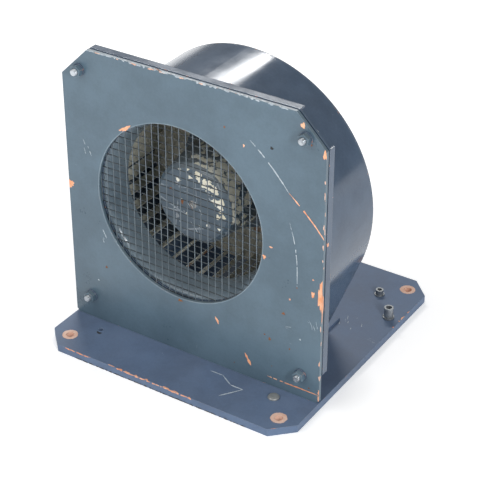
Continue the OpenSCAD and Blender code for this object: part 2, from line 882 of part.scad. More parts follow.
// One bearing: part is "inner", "outer" or "balls"
module bearing(part, bore_d, out_d, y) {
    mid = (bore_d + out_d) / 4;
    r_ball = (out_d - bore_d) / 4 * ball_share;
    land = r_ball * land_share;
    groove = r_ball + run_gap;
    if (part == "balls")
        ring_of(ball_count) translate([mid, y + bearing_w / 2, 0]) sphere(r_ball, $fn = 32);
    if (part == "inner") difference() {
        tube_y(mid - land, bore_d / 2, y, y + bearing_w);
        rotate([-90, 0, 0]) rotate_extrude() translate([mid, y + bearing_w / 2]) circle(groove);
    }
    if (part == "outer") difference() {
        tube_y(out_d / 2, mid + land, y, y + bearing_w);
        rotate([-90, 0, 0]) rotate_extrude() translate([mid, y + bearing_w / 2]) circle(groove);
    }
}

module both_bearings(part) {
    on_axis() {
        bearing(part, shaft_d, bearing_front_d, bearing_front_y);
        bearing(part, shaft_rear_d, bearing_rear_d, bearing_rear_y);
    }
}

module bearing_inner_rings() {
    color(zinc) both_bearings("inner");
}

module bearing_balls() {
    color(zinc) both_bearings("balls");
}

module bearing_outer_rings() {
    color(zinc) both_bearings("outer");
}

// ---------- motor: standing pieces ----------

module motor_tube() {
    color(paint_grey) on_axis() tube_y(motor_r, tube_r, tube_start, tube_end);
}

module motor_flange() {
    color(cast_alloy) on_axis() difference() {
        tube_y(flange_d / 2, motor_r, back_rear, back_rear + flange_t);
        at_flange_screws() rod_y(flange_screw_d / 2, back_rear - 1, back_rear + flange_t + 1);
    }
}

module flange_screws() {
    head = back_rear + flange_t;
    color(zinc) on_axis() at_flange_screws() difference() {
        union() {
            rod_y(flange_screw_d / 2, back_front - flange_nut_h, head + eps);
            rod_y(flange_head_d / 2, head, head + flange_head_h);
        }
        hex_y(socket_af, head + flange_head_h / 2, head + flange_head_h + 1);
    }
}

module flange_nuts() {
    color(zinc) on_axis() at_flange_screws()
        nut_y(flange_nut_af, flange_screw_d, back_front - flange_nut_h, back_front);
}

// Places children at the four bolts that tie the motor's shields together
module at_tie_bolts() {
    for (side = [0, 180], lean = [-tie_angle, tie_angle])
        rotate([0, side + lean, 0]) translate([tie_circle_r, 0, 0]) children();
}

module front_shield() {
    color(cast_alloy) on_axis() difference() {
        union() {
            rod_y(motor_r, shield_front, tube_start);
            rod_y(tube_r, tube_start - eps, tube_start + shield_t);
            rod_y(seat_r_front, tube_start, bearing_front_y + bearing_w);
        }
        rod_y(bearing_front_d / 2, bearing_front_y, bearing_front_y + bearing_w + 1);
        rod_y(shaft_d / 2 + spigot_gap, shield_front - 1, bearing_front_y + 1);
        at_tie_bolts() rod_y(tie_d / 2, shield_front - 1, tube_start + shield_t + 1);
    }
}

module rear_shield() {
    color(cast_alloy) on_axis() difference() {
        union() {
            rod_y(motor_r, tube_end, shield_rear);
            rod_y(tube_r, tube_end - shield_t, tube_end + eps);
            rod_y(seat_r_rear, bearing_rear_y, tube_end);
            rod_y(seat_r_rear, tube_end, shield_rear + journal_step);
        }
        rod_y(bearing_rear_d / 2, bearing_rear_y - 1, tube_end);
        at_tie_bolts() rod_y(tie_d / 2, tube_end - shield_t - 1, shield_rear + 1);
    }
}

module tie_bolts() {
    color(zinc) on_axis() at_tie_bolts() {
        rod_y(tie_d / 2, shield_front - tie_nut_h, shield_rear + eps);
        rod_y(tie_head_d / 2, shield_rear, shield_rear + tie_head_h);
    }
}

module tie_nuts() {
    color(zinc) on_axis() at_tie_bolts() nut_y(tie_nut_af, tie_d, shield_front - tie_nut_h, shield_front);
}

module field_magnets() {
    color(ferrite) on_axis() along_y(core_front, core_rear) for (side = [0, 180]) rotate(side)
        intersection() {
            difference() {
                circle(tube_r);
                circle(magnet_in_r);
            }
            polygon([[0, 0], 2 * tube_r * [sin(magnet_half_arc), cos(magnet_half_arc)],
                [0, 3 * tube_r], 2 * tube_r * [-sin(magnet_half_arc), cos(magnet_half_arc)]]);
        }
}

module brush_ring() {
    color(phenolic) on_axis() difference() {
        tube_y(tube_r, commutator_d / 2 + ring_gap, ring_front, ring_front + ring_t);
        at_tie_bolts() rod_y(tie_d / 2, ring_front - 1, ring_front + ring_t + 1);
    }
}

module brush_holders() {
    outer_w = brush_w + 2 * holder_wall;
    start = commutator_d / 2 + holder_gap;
    slide_w = brush_w + 2 * brush_gap;
    color(brass) on_axis() for (side = [0, 180]) rotate([0, side, 0]) difference() {
        translate([start, brush_y - outer_w / 2, -outer_w / 2]) cube([holder_l, outer_w, outer_w]);
        translate([start - 1, brush_y - slide_w / 2, -slide_w / 2])
            cube([holder_l + 1 - holder_wall, slide_w, slide_w]);
    }
}

module carbon_brushes() {
    color(carbon) on_axis() for (side = [0, 180]) rotate([0, side, 0]) difference() {
        translate([commutator_d / 2 - 1, brush_y - brush_w / 2, -brush_w / 2])
            cube([brush_len + 1, brush_w, brush_w]);
        rod_y(commutator_d / 2 + brush_face_gap, brush_y - brush_w, brush_y + brush_w);
    }
}

module brush_springs() {
    start = commutator_d / 2 + brush_len;
    end = commutator_d / 2 + holder_gap + holder_l - holder_wall;
    pitch = (end - start - spring_wire_d) / (spring_turns - 1);
    color(zinc) on_axis() for (side = [0, 180]) rotate([0, side, 0]) for (i = [0 : spring_turns - 1])
        translate([start + spring_wire_d / 2 + i * pitch, brush_y, 0]) rotate([0, 90, 0])
            rotate_extrude($fn = 32) translate([spring_d / 2, 0]) circle(d = spring_wire_d, $fn = 16);
}

// ---------- terminal box ----------

module at_lid_screws() {
    for (y = [box_y + lid_inset, box_y + box_d - lid_inset], z = [-1, 1])
        translate([box_x, y, z * (box_h / 2 - lid_inset)]) children();
}

module terminal_box() {
    color(black_plastic) on_axis() difference() {
        union() {
            difference() {
                translate([box_x, box_y, -box_h / 2]) cube([box_reach + motor_r / 2, box_d, box_h]);
                translate([box_x - 1, box_y + box_wall, -box_h / 2 + box_wall])
                    cube([box_reach - box_wall + 1, box_d - 2 * box_wall, box_h - 2 * box_wall]);
            }
            at_lid_screws() rotate([0, 90, 0]) cylinder(d = lid_post_d, h = box_reach);
        }
        at_lid_screws() translate([-1, 0, 0]) rotate([0, 90, 0])
            cylinder(d = lid_screw_d, h = lid_screw_l + 1);
        rod_y(motor_r, box_y - 1, box_y + box_d + 1);
        translate([gland_x, 0, 0]) rod_y(gland_d / 2, gland_seat - box_wall - 1, gland_seat + 1);
    }
}

module terminal_lid() {
    color(black_plastic) on_axis() difference() {
        translate([box_x - lid_t, box_y, -box_h / 2]) cube([lid_t, box_d, box_h]);
        at_lid_screws() translate([-lid_t - 1, 0, 0]) rotate([0, 90, 0])
            cylinder(d = lid_screw_d, h = lid_t + 2);
    }
}

module lid_screws() {
    color(zinc) on_axis() at_lid_screws() translate([-lid_t, 0, 0]) rotate([0, 90, 0]) {
        translate([0, 0, -lid_screw_head_h]) cylinder(d = lid_screw_head_d, h = lid_screw_head_h);
        translate([0, 0, -eps]) cylinder(d = lid_screw_d, h = lid_t + lid_screw_l);
    }
}

// The gland points to the rear, beside the motor's tube
module cable_gland() {
    thread_rear = gland_seat + gland_collar_h + gland_nut_h;
    color(black_plastic) on_axis() translate([gland_x, 0, 0]) difference() {
        union() {
            rotate([0, 30, 0]) hex_y(gland_af, gland_seat, gland_seat + gland_collar_h);
            rod_y(gland_d / 2, gland_seat - box_wall - gland_inside, thread_rear);
        }
        rod_y(gland_bore_d / 2, gland_seat - box_h, thread_rear + 1);
    }
}

module gland_nut() {
    start = gland_seat + gland_collar_h + gland_nut_gap;
    color(black_plastic) on_axis() translate([gland_x, 0, 0]) rotate([0, 30, 0])
        nut_y(gland_af, gland_d, start, start + gland_nut_h - gland_nut_gap);
}

base_plate();
outlet_frame();
front_cover();
mesh_uprights();
mesh_levels();
housing_front();
inlet_cone();
scroll_wall();
scroll_back();
cover_studs();
cover_spacers();
cover_washers();
cover_nuts();
button_screw();
socket_screws();
socket_washers();
earth_screw();
earth_washer();
wheel_cup();
wheel_back();
wheel_ring();
wheel_blades();
wheel_rivets();
wheel_boss();
cup_screws();
boss_grub_screw();
motor_shaft();
drive_key();
armature_core();
armature_coils();
commutator();
bearing_inner_rings();
bearing_balls();
bearing_outer_rings();
motor_tube();
motor_flange();
flange_screws();
flange_nuts();
front_shield();
rear_shield();
tie_bolts();
tie_nuts();
field_magnets();
brush_ring();
brush_holders();
carbon_brushes();
brush_springs();
terminal_box();
terminal_lid();
lid_screws();
cable_gland();
gland_nut();
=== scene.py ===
"""Looks of a direct-current blower fan: finishes, fine pieces, floor, lights and camera."""

from __future__ import annotations

import json
import logging
import math
import random
from collections.abc import Sequence
from dataclasses import dataclass
from enum import Enum

import bmesh
import bpy
from mathutils import Matrix, Vector
from mathutils.geometry import convex_hull_2d

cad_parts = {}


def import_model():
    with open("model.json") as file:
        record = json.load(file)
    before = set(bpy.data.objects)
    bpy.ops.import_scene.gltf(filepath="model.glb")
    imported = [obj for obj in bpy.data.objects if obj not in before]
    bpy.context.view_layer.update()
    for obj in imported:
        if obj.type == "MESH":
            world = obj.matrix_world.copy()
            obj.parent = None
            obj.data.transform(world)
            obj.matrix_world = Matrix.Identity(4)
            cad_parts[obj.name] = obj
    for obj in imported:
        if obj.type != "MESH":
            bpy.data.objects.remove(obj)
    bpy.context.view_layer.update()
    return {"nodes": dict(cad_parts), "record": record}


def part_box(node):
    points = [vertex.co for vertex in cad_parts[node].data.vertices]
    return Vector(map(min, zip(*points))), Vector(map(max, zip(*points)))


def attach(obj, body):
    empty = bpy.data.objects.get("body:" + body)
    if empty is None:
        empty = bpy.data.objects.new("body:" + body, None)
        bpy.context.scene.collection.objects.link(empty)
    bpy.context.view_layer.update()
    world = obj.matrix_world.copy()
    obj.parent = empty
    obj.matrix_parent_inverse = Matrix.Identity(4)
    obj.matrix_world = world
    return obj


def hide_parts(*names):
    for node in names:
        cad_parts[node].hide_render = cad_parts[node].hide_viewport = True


GOLDEN = (math.sqrt(5) - 1) / 2
LOG = logging.getLogger("blower")
MM = 0.001
FLATNESS = 0.2 * MM
RIGHT, BACK, UP = Vector((1, 0, 0)), Vector((0, 1, 0)), Vector((0, 0, 1))

Colour = tuple[float, float, float]
Point = tuple[float, float, float]


def srgb(red: int, green: int, blue: int) -> Colour:
    """Turns a colour chart's 0 to 255 values into the linear colour that shaders use.

    Args:
        red: Red from the chart.
        green: Green from the chart.
        blue: Blue from the chart.

    Returns:
        The linear colour.
    """

    def linear(value: int) -> float:
        """Undoes the display curve of one channel."""
        share = value / 255
        return share / 12.92 if share <= 0.04045 else ((share + 0.055) / 1.055) ** 2.4

    return linear(red), linear(green), linear(blue)


PRIMER = srgb(236, 150, 104)
PRIMER_PALE = srgb(250, 196, 160)
RUST = srgb(118, 70, 38)
PALE_SCRATCH_AND_SHEEN = srgb(205, 214, 220)
DARK_GRIME = srgb(40, 42, 44)
DUST = srgb(176, 170, 150)


# ---------- shader nodes ----------


class Graph:
    """A node tree, with short calls for the nodes that the finishes are made of."""

    def __init__(self, tree: bpy.types.NodeTree) -> None:
        """Keeps the tree that the nodes go in."""
        self.tree = tree

    def node(self, kind: str, values: dict | None = None, **settings: object) -> bpy.types.Node:
        """Adds a node.

        Args:
            kind: The node's type name.
            values: Socket names or numbers, each with a constant or a socket to link.
            **settings: The node's own properties.

        Returns:
            The new node.
        """
        made = self.tree.nodes.new(kind)
        for name, value in settings.items():
            setattr(made, name, value)
        for key, value in (values or {}).items():
            self.feed(made.inputs[key], value)
        return made

    def feed(self, socket: bpy.types.NodeSocket, value: object) -> None:
        """Links a socket into another one, or sets its constant."""
        if isinstance(value, bpy.types.NodeSocket):
            self.tree.links.new(value, socket)
        elif socket.type == "RGBA" and len(value) == 3:
            socket.default_value = (*value, 1.0)
        else:
            socket.default_value = value

    def math(self, operation: str, first: object, second: object = 0.0, clamp: bool = False) -> object:
        """Adds a Math node and returns its value."""
        made = self.node("ShaderNodeMath", {0: first, 1: second}, operation=operation, use_clamp=clamp)
        return made.outputs[0]

    def vector(self, operation: str, first: object, second: object = (0.0, 0.0, 0.0)) -> bpy.types.Node:
        """Adds a Vector Math node of two vectors."""
        return self.node("ShaderNodeVectorMath", {0: first, 1: second}, operation=operation)

    def scaled(self, vector: object, factor: object) -> object:
        """Scales a vector by a number."""
        made = self.node("ShaderNodeVectorMath", {0: vector, "Scale": factor}, operation="SCALE")
        return made.outputs[0]

    def noise(self, place: object, scale: object, detail: float = 3.0, rough: float = 0.55) -> object:
        """Adds a noise texture and returns its value."""
        values = {"Vector": place, "Scale": scale, "Detail": detail, "Roughness": rough}
        return self.node("ShaderNodeTexNoise", values).outputs["Fac"]

    def band(
        self, value: object, low: object, high: object, bottom: object = 0.0, top: object = 1.0
    ) -> object:
        """Maps low..high smoothly to bottom..top and holds the ends."""
        values = {"Value": value, "From Min": low, "From Max": high, "To Min": bottom, "To Max": top}
        return self.node("ShaderNodeMapRange", values, interpolation_type="SMOOTHSTEP").outputs[0]

    def mix(self, share: object, under: object, over: object, blend: str = "MIX") -> object:
        """Lays one colour over another by a share."""
        made = self.node("ShaderNodeMix", {0: share, 6: under, 7: over}, data_type="RGBA", blend_type=blend)
        return made.outputs[2]

    def group(self, tree: bpy.types.NodeTree, **values: object) -> bpy.types.Node:
        """Places a node group. Underscores in the value names stand for spaces."""
        made = self.tree.nodes.new("ShaderNodeGroup")
        made.node_tree = tree
        for name, value in values.items():
            self.feed(made.inputs[name.replace("_", " ").capitalize()], value)
        return made


class Effects:
    """The surface effects that several finishes share, each one node group that is built once."""

    def __init__(self) -> None:
        """Builds every group."""
        self.mottle = self._mottle()
        self.edge_wear = self._edge_wear()
        self.chips = self._chips()
        self.hairlines = self._hairlines()
        self.dust = self._dust()
        self.grain = self._grain()

    def _start(self, name: str, inputs: dict[str, object], outputs: dict[str, str]) -> tuple:
        """Starts a group.

        Args:
            name: The group's name.
            inputs: Input names with their default values.
            outputs: Output names with their socket types.

        Returns:
            The tree, its graph, its input sockets by name and its output node.
        """
        tree = bpy.data.node_groups.new(name, "ShaderNodeTree")
        for label, value in inputs.items():
            kind = "NodeSocketFloat" if isinstance(value, float) else "NodeSocketVector"
            socket = tree.interface.new_socket(name=label, in_out="INPUT", socket_type=kind)
            socket.default_value = value
        for label, kind in outputs.items():
            tree.interface.new_socket(name=label, in_out="OUTPUT", socket_type=kind)
        graph = Graph(tree)
        entry = tree.nodes.new("NodeGroupInput")
        leave = tree.nodes.new("NodeGroupOutput")
        return tree, graph, {s.name: s for s in entry.outputs if s.name}, leave

    def _place(self, graph: Graph) -> object:
        """Returns a point's place on the object, in metres."""
        return graph.node("ShaderNodeTexCoord").outputs["Object"]

    def _mottle(self) -> bpy.types.NodeTree:
        """Slow and quick changes of tone, as sprayed paint and handled metal show."""
        tree, graph, into, leave = self._start(
            "Mottled tone", {"Scale": 9.0, "Seed": (0.0, 0.0, 0.0)}, {"Value": "NodeSocketFloat"}
        )
        place = graph.vector("ADD", self._place(graph), into["Seed"]).outputs[0]
        slow = graph.noise(place, into["Scale"], 2.0)
        middle = graph.noise(place, graph.math("MULTIPLY", into["Scale"], 6.0), 4.0)
        quick = graph.noise(place, graph.math("MULTIPLY", into["Scale"], 45.0), 3.0)
        total = graph.math("ADD", graph.math("MULTIPLY", slow, 0.55), graph.math("MULTIPLY", middle, 0.3))
        total = graph.math("ADD", total, graph.math("MULTIPLY", quick, 0.15))
        graph.feed(leave.inputs["Value"], graph.band(total, 0.34, 0.66))
        return tree

    def _edge_wear(self) -> bpy.types.NodeTree:
        """Edges that are rubbed bare here and there, the rounded normal that they catch light with, and a
        mask of every edge that the finishes lighten as a painted highlight.
        """
        tree, graph, into, leave = self._start(
            "Edge wear",
            {"Width": 0.001, "Cover": 0.5, "Scale": 120.0},
            {"Mask": "NodeSocketFloat", "Edge": "NodeSocketFloat", "Normal": "NodeSocketVector"},
        )
        rounded = graph.node("ShaderNodeBevel", {"Radius": into["Width"]}, samples=6).outputs[0]
        true = graph.node("ShaderNodeNewGeometry").outputs["Normal"]
        along = graph.vector("DOT_PRODUCT", rounded, true).outputs["Value"]
        edge = graph.band(along, 0.995, 0.86)
        broken = graph.noise(self._place(graph), into["Scale"], 4.0, 0.65)
        limit = graph.math("SUBTRACT", 0.78, graph.math("MULTIPLY", into["Cover"], 0.5))
        worn = graph.band(broken, limit, graph.math("ADD", limit, 0.05))
        graph.feed(leave.inputs["Mask"], graph.math("MULTIPLY", edge, worn))
        graph.feed(leave.inputs["Edge"], edge)
        graph.feed(leave.inputs["Normal"], rounded)
        return tree

    def _chips(self) -> bpy.types.NodeTree:
        """Small scattered chips with ragged outlines."""
        tree, graph, into, leave = self._start(
            "Chips",
            {"Scale": 40.0, "Cover": 0.1, "Size": 0.12, "Seed": (0.0, 0.0, 0.0)},
            {"Mask": "NodeSocketFloat"},
        )
        place = graph.vector("ADD", self._place(graph), into["Seed"]).outputs[0]
        ragged = graph.node("ShaderNodeTexNoise", {"Vector": place, "Scale": 500.0, "Detail": 2.0})
        shift = ragged.outputs["Color"]
        bent = graph.vector("ADD", place, graph.scaled(shift, 0.004)).outputs[0]
        cells = graph.node("ShaderNodeTexVoronoi", {"Vector": bent, "Scale": into["Scale"]}, feature="F1")
        near = graph.band(cells.outputs["Distance"], into["Size"], graph.math("MULTIPLY", into["Size"], 0.8))
        pick = graph.node("ShaderNodeSeparateColor", {0: cells.outputs["Color"]}).outputs[0]
        chosen = graph.math("LESS_THAN", pick, into["Cover"])
        graph.feed(leave.inputs["Mask"], graph.math("MULTIPLY", near, chosen))
        return tree

    def _hairlines(self) -> bpy.types.NodeTree:
        """Fine handling scratches in two crossing directions, broken into short lengths."""
        tree, graph, into, leave = self._start(
            "Hairlines", {"Scale": 30.0, "Cover": 0.4, "Seed": (0.0, 0.0, 0.0)}, {"Mask": "NodeSocketFloat"}
        )
        place = graph.vector("ADD", self._place(graph), into["Seed"]).outputs[0]
        masks = []
        for turn, stretch in ((0.5, (1.0, 1.0, 0.09)), (-0.9, (0.12, 1.0, 1.0))):
            values = {"Vector": place, "Rotation": (0.25, turn, turn), "Scale": stretch}
            laid = graph.node("ShaderNodeMapping", values).outputs[0]
            cells = graph.node(
                "ShaderNodeTexVoronoi", {"Vector": laid, "Scale": into["Scale"]}, feature="DISTANCE_TO_EDGE"
            )
            masks.append(graph.band(cells.outputs["Distance"], 0.014, 0.004))
        lines = graph.math("MAXIMUM", masks[0], masks[1])
        broken = graph.noise(place, graph.math("MULTIPLY", into["Scale"], 0.9), 4.0, 0.7)
        limit = graph.math("SUBTRACT", 0.8, graph.math("MULTIPLY", into["Cover"], 0.5))
        patches = graph.band(broken, limit, graph.math("ADD", limit, 0.06))
        graph.feed(leave.inputs["Mask"], graph.math("MULTIPLY", lines, patches))
        return tree

    def _dust(self) -> bpy.types.NodeTree:
        """Dust that settles on what faces up, thicker in patches."""
        tree, graph, into, leave = self._start(
            "Dust", {"Amount": 0.3, "Scale": 14.0, "Low": 0.2}, {"Mask": "NodeSocketFloat"}
        )
        normal = graph.node("ShaderNodeNewGeometry").outputs["Normal"]
        up = graph.node("ShaderNodeSeparateXYZ", {0: normal}).outputs["Z"]
        facing = graph.band(up, into["Low"], 1.0)
        patches = graph.noise(self._place(graph), into["Scale"], 5.0, 0.65)
        thick = graph.math("MULTIPLY", facing, graph.band(patches, 0.3, 0.7, 0.35, 1.0))
        graph.feed(leave.inputs["Mask"], graph.math("MULTIPLY", thick, into["Amount"], clamp=True))
        return tree

    def _grain(self) -> bpy.types.NodeTree:
        """The height of sprayed paint's orange peel, or of a cast or rolled skin."""
        tree, graph, into, leave = self._start("Grain", {"Scale": 700.0}, {"Height": "NodeSocketFloat"})
        place = self._place(graph)
        fine = graph.noise(place, into["Scale"], 3.0)
        broad = graph.noise(place, graph.math("MULTIPLY", into["Scale"], 0.03), 2.0)
        total = graph.math("ADD", graph.math("MULTIPLY", fine, 0.35), graph.math("MULTIPLY", broad, 0.65))
        graph.feed(leave.inputs["Height"], total)
        return tree


# ---------- finishes ----------


def new_material(name: str) -> tuple[bpy.types.Material, Graph, bpy.types.Node]:
    """Starts a material.

    Args:
        name: The material's name.

    Returns:
        The material, its graph and its Principled BSDF.
    """
    made = bpy.data.materials.new(name)
    made.use_nodes = True
    return made, Graph(made.node_tree), made.node_tree.nodes["Principled BSDF"]


@dataclass(frozen=True)
class Paint:
    """Semi-gloss machine paint over orange primer on steel sheet."""

    name: str
    light: Colour
    dark: Colour
    roughness: float = 0.36
    edge_width: float = 0.0009
    edge_cover: float = 0.35
    chip_cover: float = 0.02
    chip_scale: float = 45.0
    hair_cover: float = 0.3
    dust_amount: float = 0.12
    orange_peel: float = 0.05
    specular: float = 0.5
    seed: Point = (0.0, 0.0, 0.0)

    def make(self, effects: Effects) -> bpy.types.Material:
        """Builds the material.

        Args:
            effects: The shared node groups.

        Returns:
            The material.
        """
        made, graph, skin = new_material(self.name)
        tone = graph.group(effects.mottle, scale=8.0, seed=self.seed).outputs[0]
        colour = graph.mix(tone, self.dark, self.light)
        edge = graph.group(effects.edge_wear, width=self.edge_width, cover=self.edge_cover)
        hair = graph.group(effects.hairlines, cover=self.hair_cover, seed=self.seed).outputs[0]
        dust = graph.group(effects.dust, amount=self.dust_amount).outputs[0]
        chips = graph.group(
            effects.chips, scale=self.chip_scale, cover=self.chip_cover, seed=self.seed
        ).outputs[0]
        # Every edge is lightened towards pale bare metal: a painted highlight along the edges, as well as
        # rubbing.
        colour = graph.mix(graph.math("MULTIPLY", edge.outputs["Edge"], 0.22), colour, PALE_SCRATCH_AND_SHEEN)
        colour = graph.mix(graph.math("MULTIPLY", hair, 0.3), colour, PALE_SCRATCH_AND_SHEEN)
        colour = graph.mix(dust, colour, DUST)
        primer_tone = graph.mix(
            graph.noise(graph.node("ShaderNodeTexCoord").outputs["Object"], 260.0), PRIMER, PRIMER_PALE
        )
        bare = graph.math("MAXIMUM", chips, edge.outputs["Mask"])
        colour = graph.mix(bare, colour, primer_tone)
        graph.feed(skin.inputs["Base Color"], colour)
        rough = graph.math("ADD", self.roughness - 0.05, graph.math("MULTIPLY", tone, 0.1))
        rough = graph.math("ADD", rough, graph.math("MULTIPLY", dust, 0.4))
        rough = graph.math("ADD", rough, graph.math("MULTIPLY", bare, 0.35), clamp=True)
        graph.feed(skin.inputs["Roughness"], rough)
        peel = graph.group(effects.grain).outputs[0]
        height = graph.math("MULTIPLY", peel, self.orange_peel)
        height = graph.math("SUBTRACT", height, graph.math("MULTIPLY", bare, 0.6))
        height = graph.math("SUBTRACT", height, graph.math("MULTIPLY", hair, 0.1))
        bump = graph.node(
            "ShaderNodeBump",
            {"Height": height, "Distance": 0.0004, "Strength": 0.6, "Normal": edge.outputs["Normal"]},
        )
        graph.feed(skin.inputs["Normal"], bump.outputs[0])
        skin.inputs["Specular IOR Level"].default_value = self.specular
        return made


@dataclass(frozen=True)
class Metal:
    """Bare or plated metal, with dulling, dust and rust."""

    name: str
    light: Colour
    dark: Colour
    roughness: float = 0.38
    metallic: float = 1.0
    rust_cover: float = 0.0
    dust_amount: float = 0.2
    dust_colour: Colour = DUST
    dust_low: float = 0.2
    seed: Point = (0.0, 0.0, 0.0)
    grain_scale: float = 900.0

    def make(self, effects: Effects) -> bpy.types.Material:
        """Builds the material.

        Args:
            effects: The shared node groups.

        Returns:
            The material.
        """
        made, graph, skin = new_material(self.name)
        tone = graph.group(effects.mottle, scale=22.0, seed=self.seed).outputs[0]
        colour = graph.mix(tone, self.dark, self.light)
        edge = graph.group(effects.edge_wear, width=0.0005, cover=0.9)
        # Every edge is lightened towards pale metal: rubbing, and a painted highlight along the edges.
        colour = graph.mix(graph.math("MULTIPLY", edge.outputs["Edge"], 0.3), colour, PALE_SCRATCH_AND_SHEEN)
        rust = graph.group(
            effects.chips, scale=70.0, cover=self.rust_cover, size=0.45, seed=self.seed
        ).outputs[0]
        colour = graph.mix(rust, colour, RUST)
        dust = graph.group(effects.dust, amount=self.dust_amount, low=self.dust_low).outputs[0]
        colour = graph.mix(dust, colour, self.dust_colour)
        graph.feed(skin.inputs["Base Color"], colour)
        cover = graph.math("MAXIMUM", rust, dust)
        graph.feed(
            skin.inputs["Metallic"],
            graph.math("MULTIPLY", self.metallic, graph.math("SUBTRACT", 1.0, cover), clamp=True),
        )
        rough = graph.math("ADD", self.roughness - 0.08, graph.math("MULTIPLY", tone, 0.16))
        rough = graph.math("ADD", rough, graph.math("MULTIPLY", cover, 0.4), clamp=True)
        graph.feed(skin.inputs["Roughness"], rough)
        peel = graph.group(effects.grain, scale=self.grain_scale).outputs[0]
        bump = graph.node(
            "ShaderNodeBump",
            {"Height": peel, "Distance": 0.0002, "Strength": 0.35, "Normal": edge.outputs["Normal"]},
        )
        graph.feed(skin.inputs["Normal"], bump.outputs[0])
        return made


@dataclass(frozen=True)
class Plastic:
    """Moulded plastic, pressed board or baked varnish."""

    name: str
    light: Colour
    dark: Colour
    roughness: float = 0.5
    dust_amount: float = 0.25

    def make(self, effects: Effects) -> bpy.types.Material:
        """Builds the material.

        Args:
            effects: The shared node groups.

        Returns:
            The material.
        """
        made, graph, skin = new_material(self.name)
        tone = graph.group(effects.mottle, scale=30.0).outputs[0]
        edge = graph.group(effects.edge_wear, width=0.0006, cover=0.4)
        dust = graph.group(effects.dust, amount=self.dust_amount).outputs[0]
        colour = graph.mix(tone, self.dark, self.light)
        # Every edge is lightened slightly towards pale: rubbing, and a painted highlight along the edges.
        colour = graph.mix(graph.math("MULTIPLY", edge.outputs["Edge"], 0.12), colour, PALE_SCRATCH_AND_SHEEN)
        colour = graph.mix(dust, colour, DUST)
        graph.feed(skin.inputs["Base Color"], colour)
        rough = graph.math("ADD", self.roughness, graph.math("MULTIPLY", tone, 0.1), clamp=True)
        graph.feed(skin.inputs["Roughness"], rough)
        peel = graph.group(effects.grain, scale=1200.0).outputs[0]
        bump = graph.node(
            "ShaderNodeBump",
            {"Height": peel, "Distance": 0.0002, "Strength": 0.4, "Normal": edge.outputs["Normal"]},
        )
        graph.feed(skin.inputs["Normal"], bump.outputs[0])
        return made


class Layer(Enum):
    """What a mark in the paint lays bare."""

    PRIMER = "primer"
    SCRATCH = "scratch"
    RUST = "rust"
    GRIME = "grime"
    DUST = "dust"
    WORN = "worn_primer"


@dataclass(frozen=True)
class Bare:
    """A layer that shows where the paint is gone: primer, scratched paint, rust or grime."""

    layer: Layer
    light: Colour
    dark: Colour
    roughness: float

    def make(self, effects: Effects) -> bpy.types.Material:
        """Builds the material.

        Args:
            effects: The shared node groups.

        Returns:
            The material.
        """
        made, graph, skin = new_material(f"bare_{self.layer.value}")
        tone = graph.group(effects.mottle, scale=60.0).outputs[0]
        graph.feed(skin.inputs["Base Color"], graph.mix(tone, self.dark, self.light))
        rough = graph.math("ADD", self.roughness, graph.math("MULTIPLY", tone, 0.15), clamp=True)
        graph.feed(skin.inputs["Roughness"], rough)
        peel = graph.group(effects.grain, scale=1500.0).outputs[0]
        bump = graph.node("ShaderNodeBump", {"Height": peel, "Distance": 0.0002, "Strength": 0.5})
        graph.feed(skin.inputs["Normal"], bump.outputs[0])
        return made


# ---------- shapes ----------


def smooth(piece: bpy.types.Object, angle: float = 35.0) -> bpy.types.Object:
    """Shades a piece smooth, apart from edges that are sharper than the angle."""
    piece.data.shade_smooth()
    piece.data.set_sharp_from_angle(angle=math.radians(angle))
    return piece


def add_mesh(name: str, points: Sequence[Point], faces: Sequence[Sequence[int]]) -> bpy.types.Object:
    """Makes an object of points and faces.

    Args:
        name: The object's name.
        points: Points in metres.
        faces: Point numbers of each face.

    Returns:
        The object, linked into the scene.
    """
    mesh = bpy.data.meshes.new(name)
    mesh.from_pydata([tuple(p) for p in points], [], [tuple(f) for f in faces])
    mesh.update()
    piece = bpy.data.objects.new(name, mesh)
    bpy.context.scene.collection.objects.link(piece)
    return piece


def join(name: str, pieces: Sequence[bpy.types.Object]) -> bpy.types.Object:
    """Joins pieces into one object with the first one's material."""
    whole = bmesh.new()
    for piece in pieces:
        piece.data.transform(piece.matrix_world)
        whole.from_mesh(piece.data)
    mesh = bpy.data.meshes.new(name)
    bmesh.ops.recalc_face_normals(whole, faces=whole.faces[:])
    whole.to_mesh(mesh)
    whole.free()
    for piece in pieces:
        bpy.data.objects.remove(piece)
    made = bpy.data.objects.new(name, mesh)
    bpy.context.scene.collection.objects.link(made)
    return made


def rings_mesh(name: str, rings: Sequence[Sequence[Point]], closed_ends: bool = True) -> bpy.types.Object:
    """Skins a row of rings that have the same number of points.

    Args:
        name: The object's name.
        rings: The rings, each a closed loop of points in metres.
        closed_ends: Whether the first and the last ring are filled.

    Returns:
        The object.
    """
    count = len(rings[0])
    points = [p for ring in rings for p in ring]
    faces = []
    for row in range(len(rings) - 1):
        for i in range(count):
            j = (i + 1) % count
            faces.append((row * count + i, row * count + j, (row + 1) * count + j, (row + 1) * count + i))
    if closed_ends:
        faces.append(tuple(reversed(range(count))))
        faces.append(tuple((len(rings) - 1) * count + i for i in range(count)))
    return add_mesh(name, points, faces)


def along(start: Vector, axis: Vector, distance: float, radius: float, turn: float) -> Point:
    """Gives a point beside an axis.

    Args:
        start: A point on the axis.
        axis: The axis's direction, of length one.
        distance: How far along the axis.
        radius: How far from the axis.
        turn: The angle round the axis, in radians.

    Returns:
        The point.
    """
    side = axis.orthogonal().normalized()
    other = axis.cross(side)
    return tuple(start + axis * distance + (side * math.cos(turn) + other * math.sin(turn)) * radius)


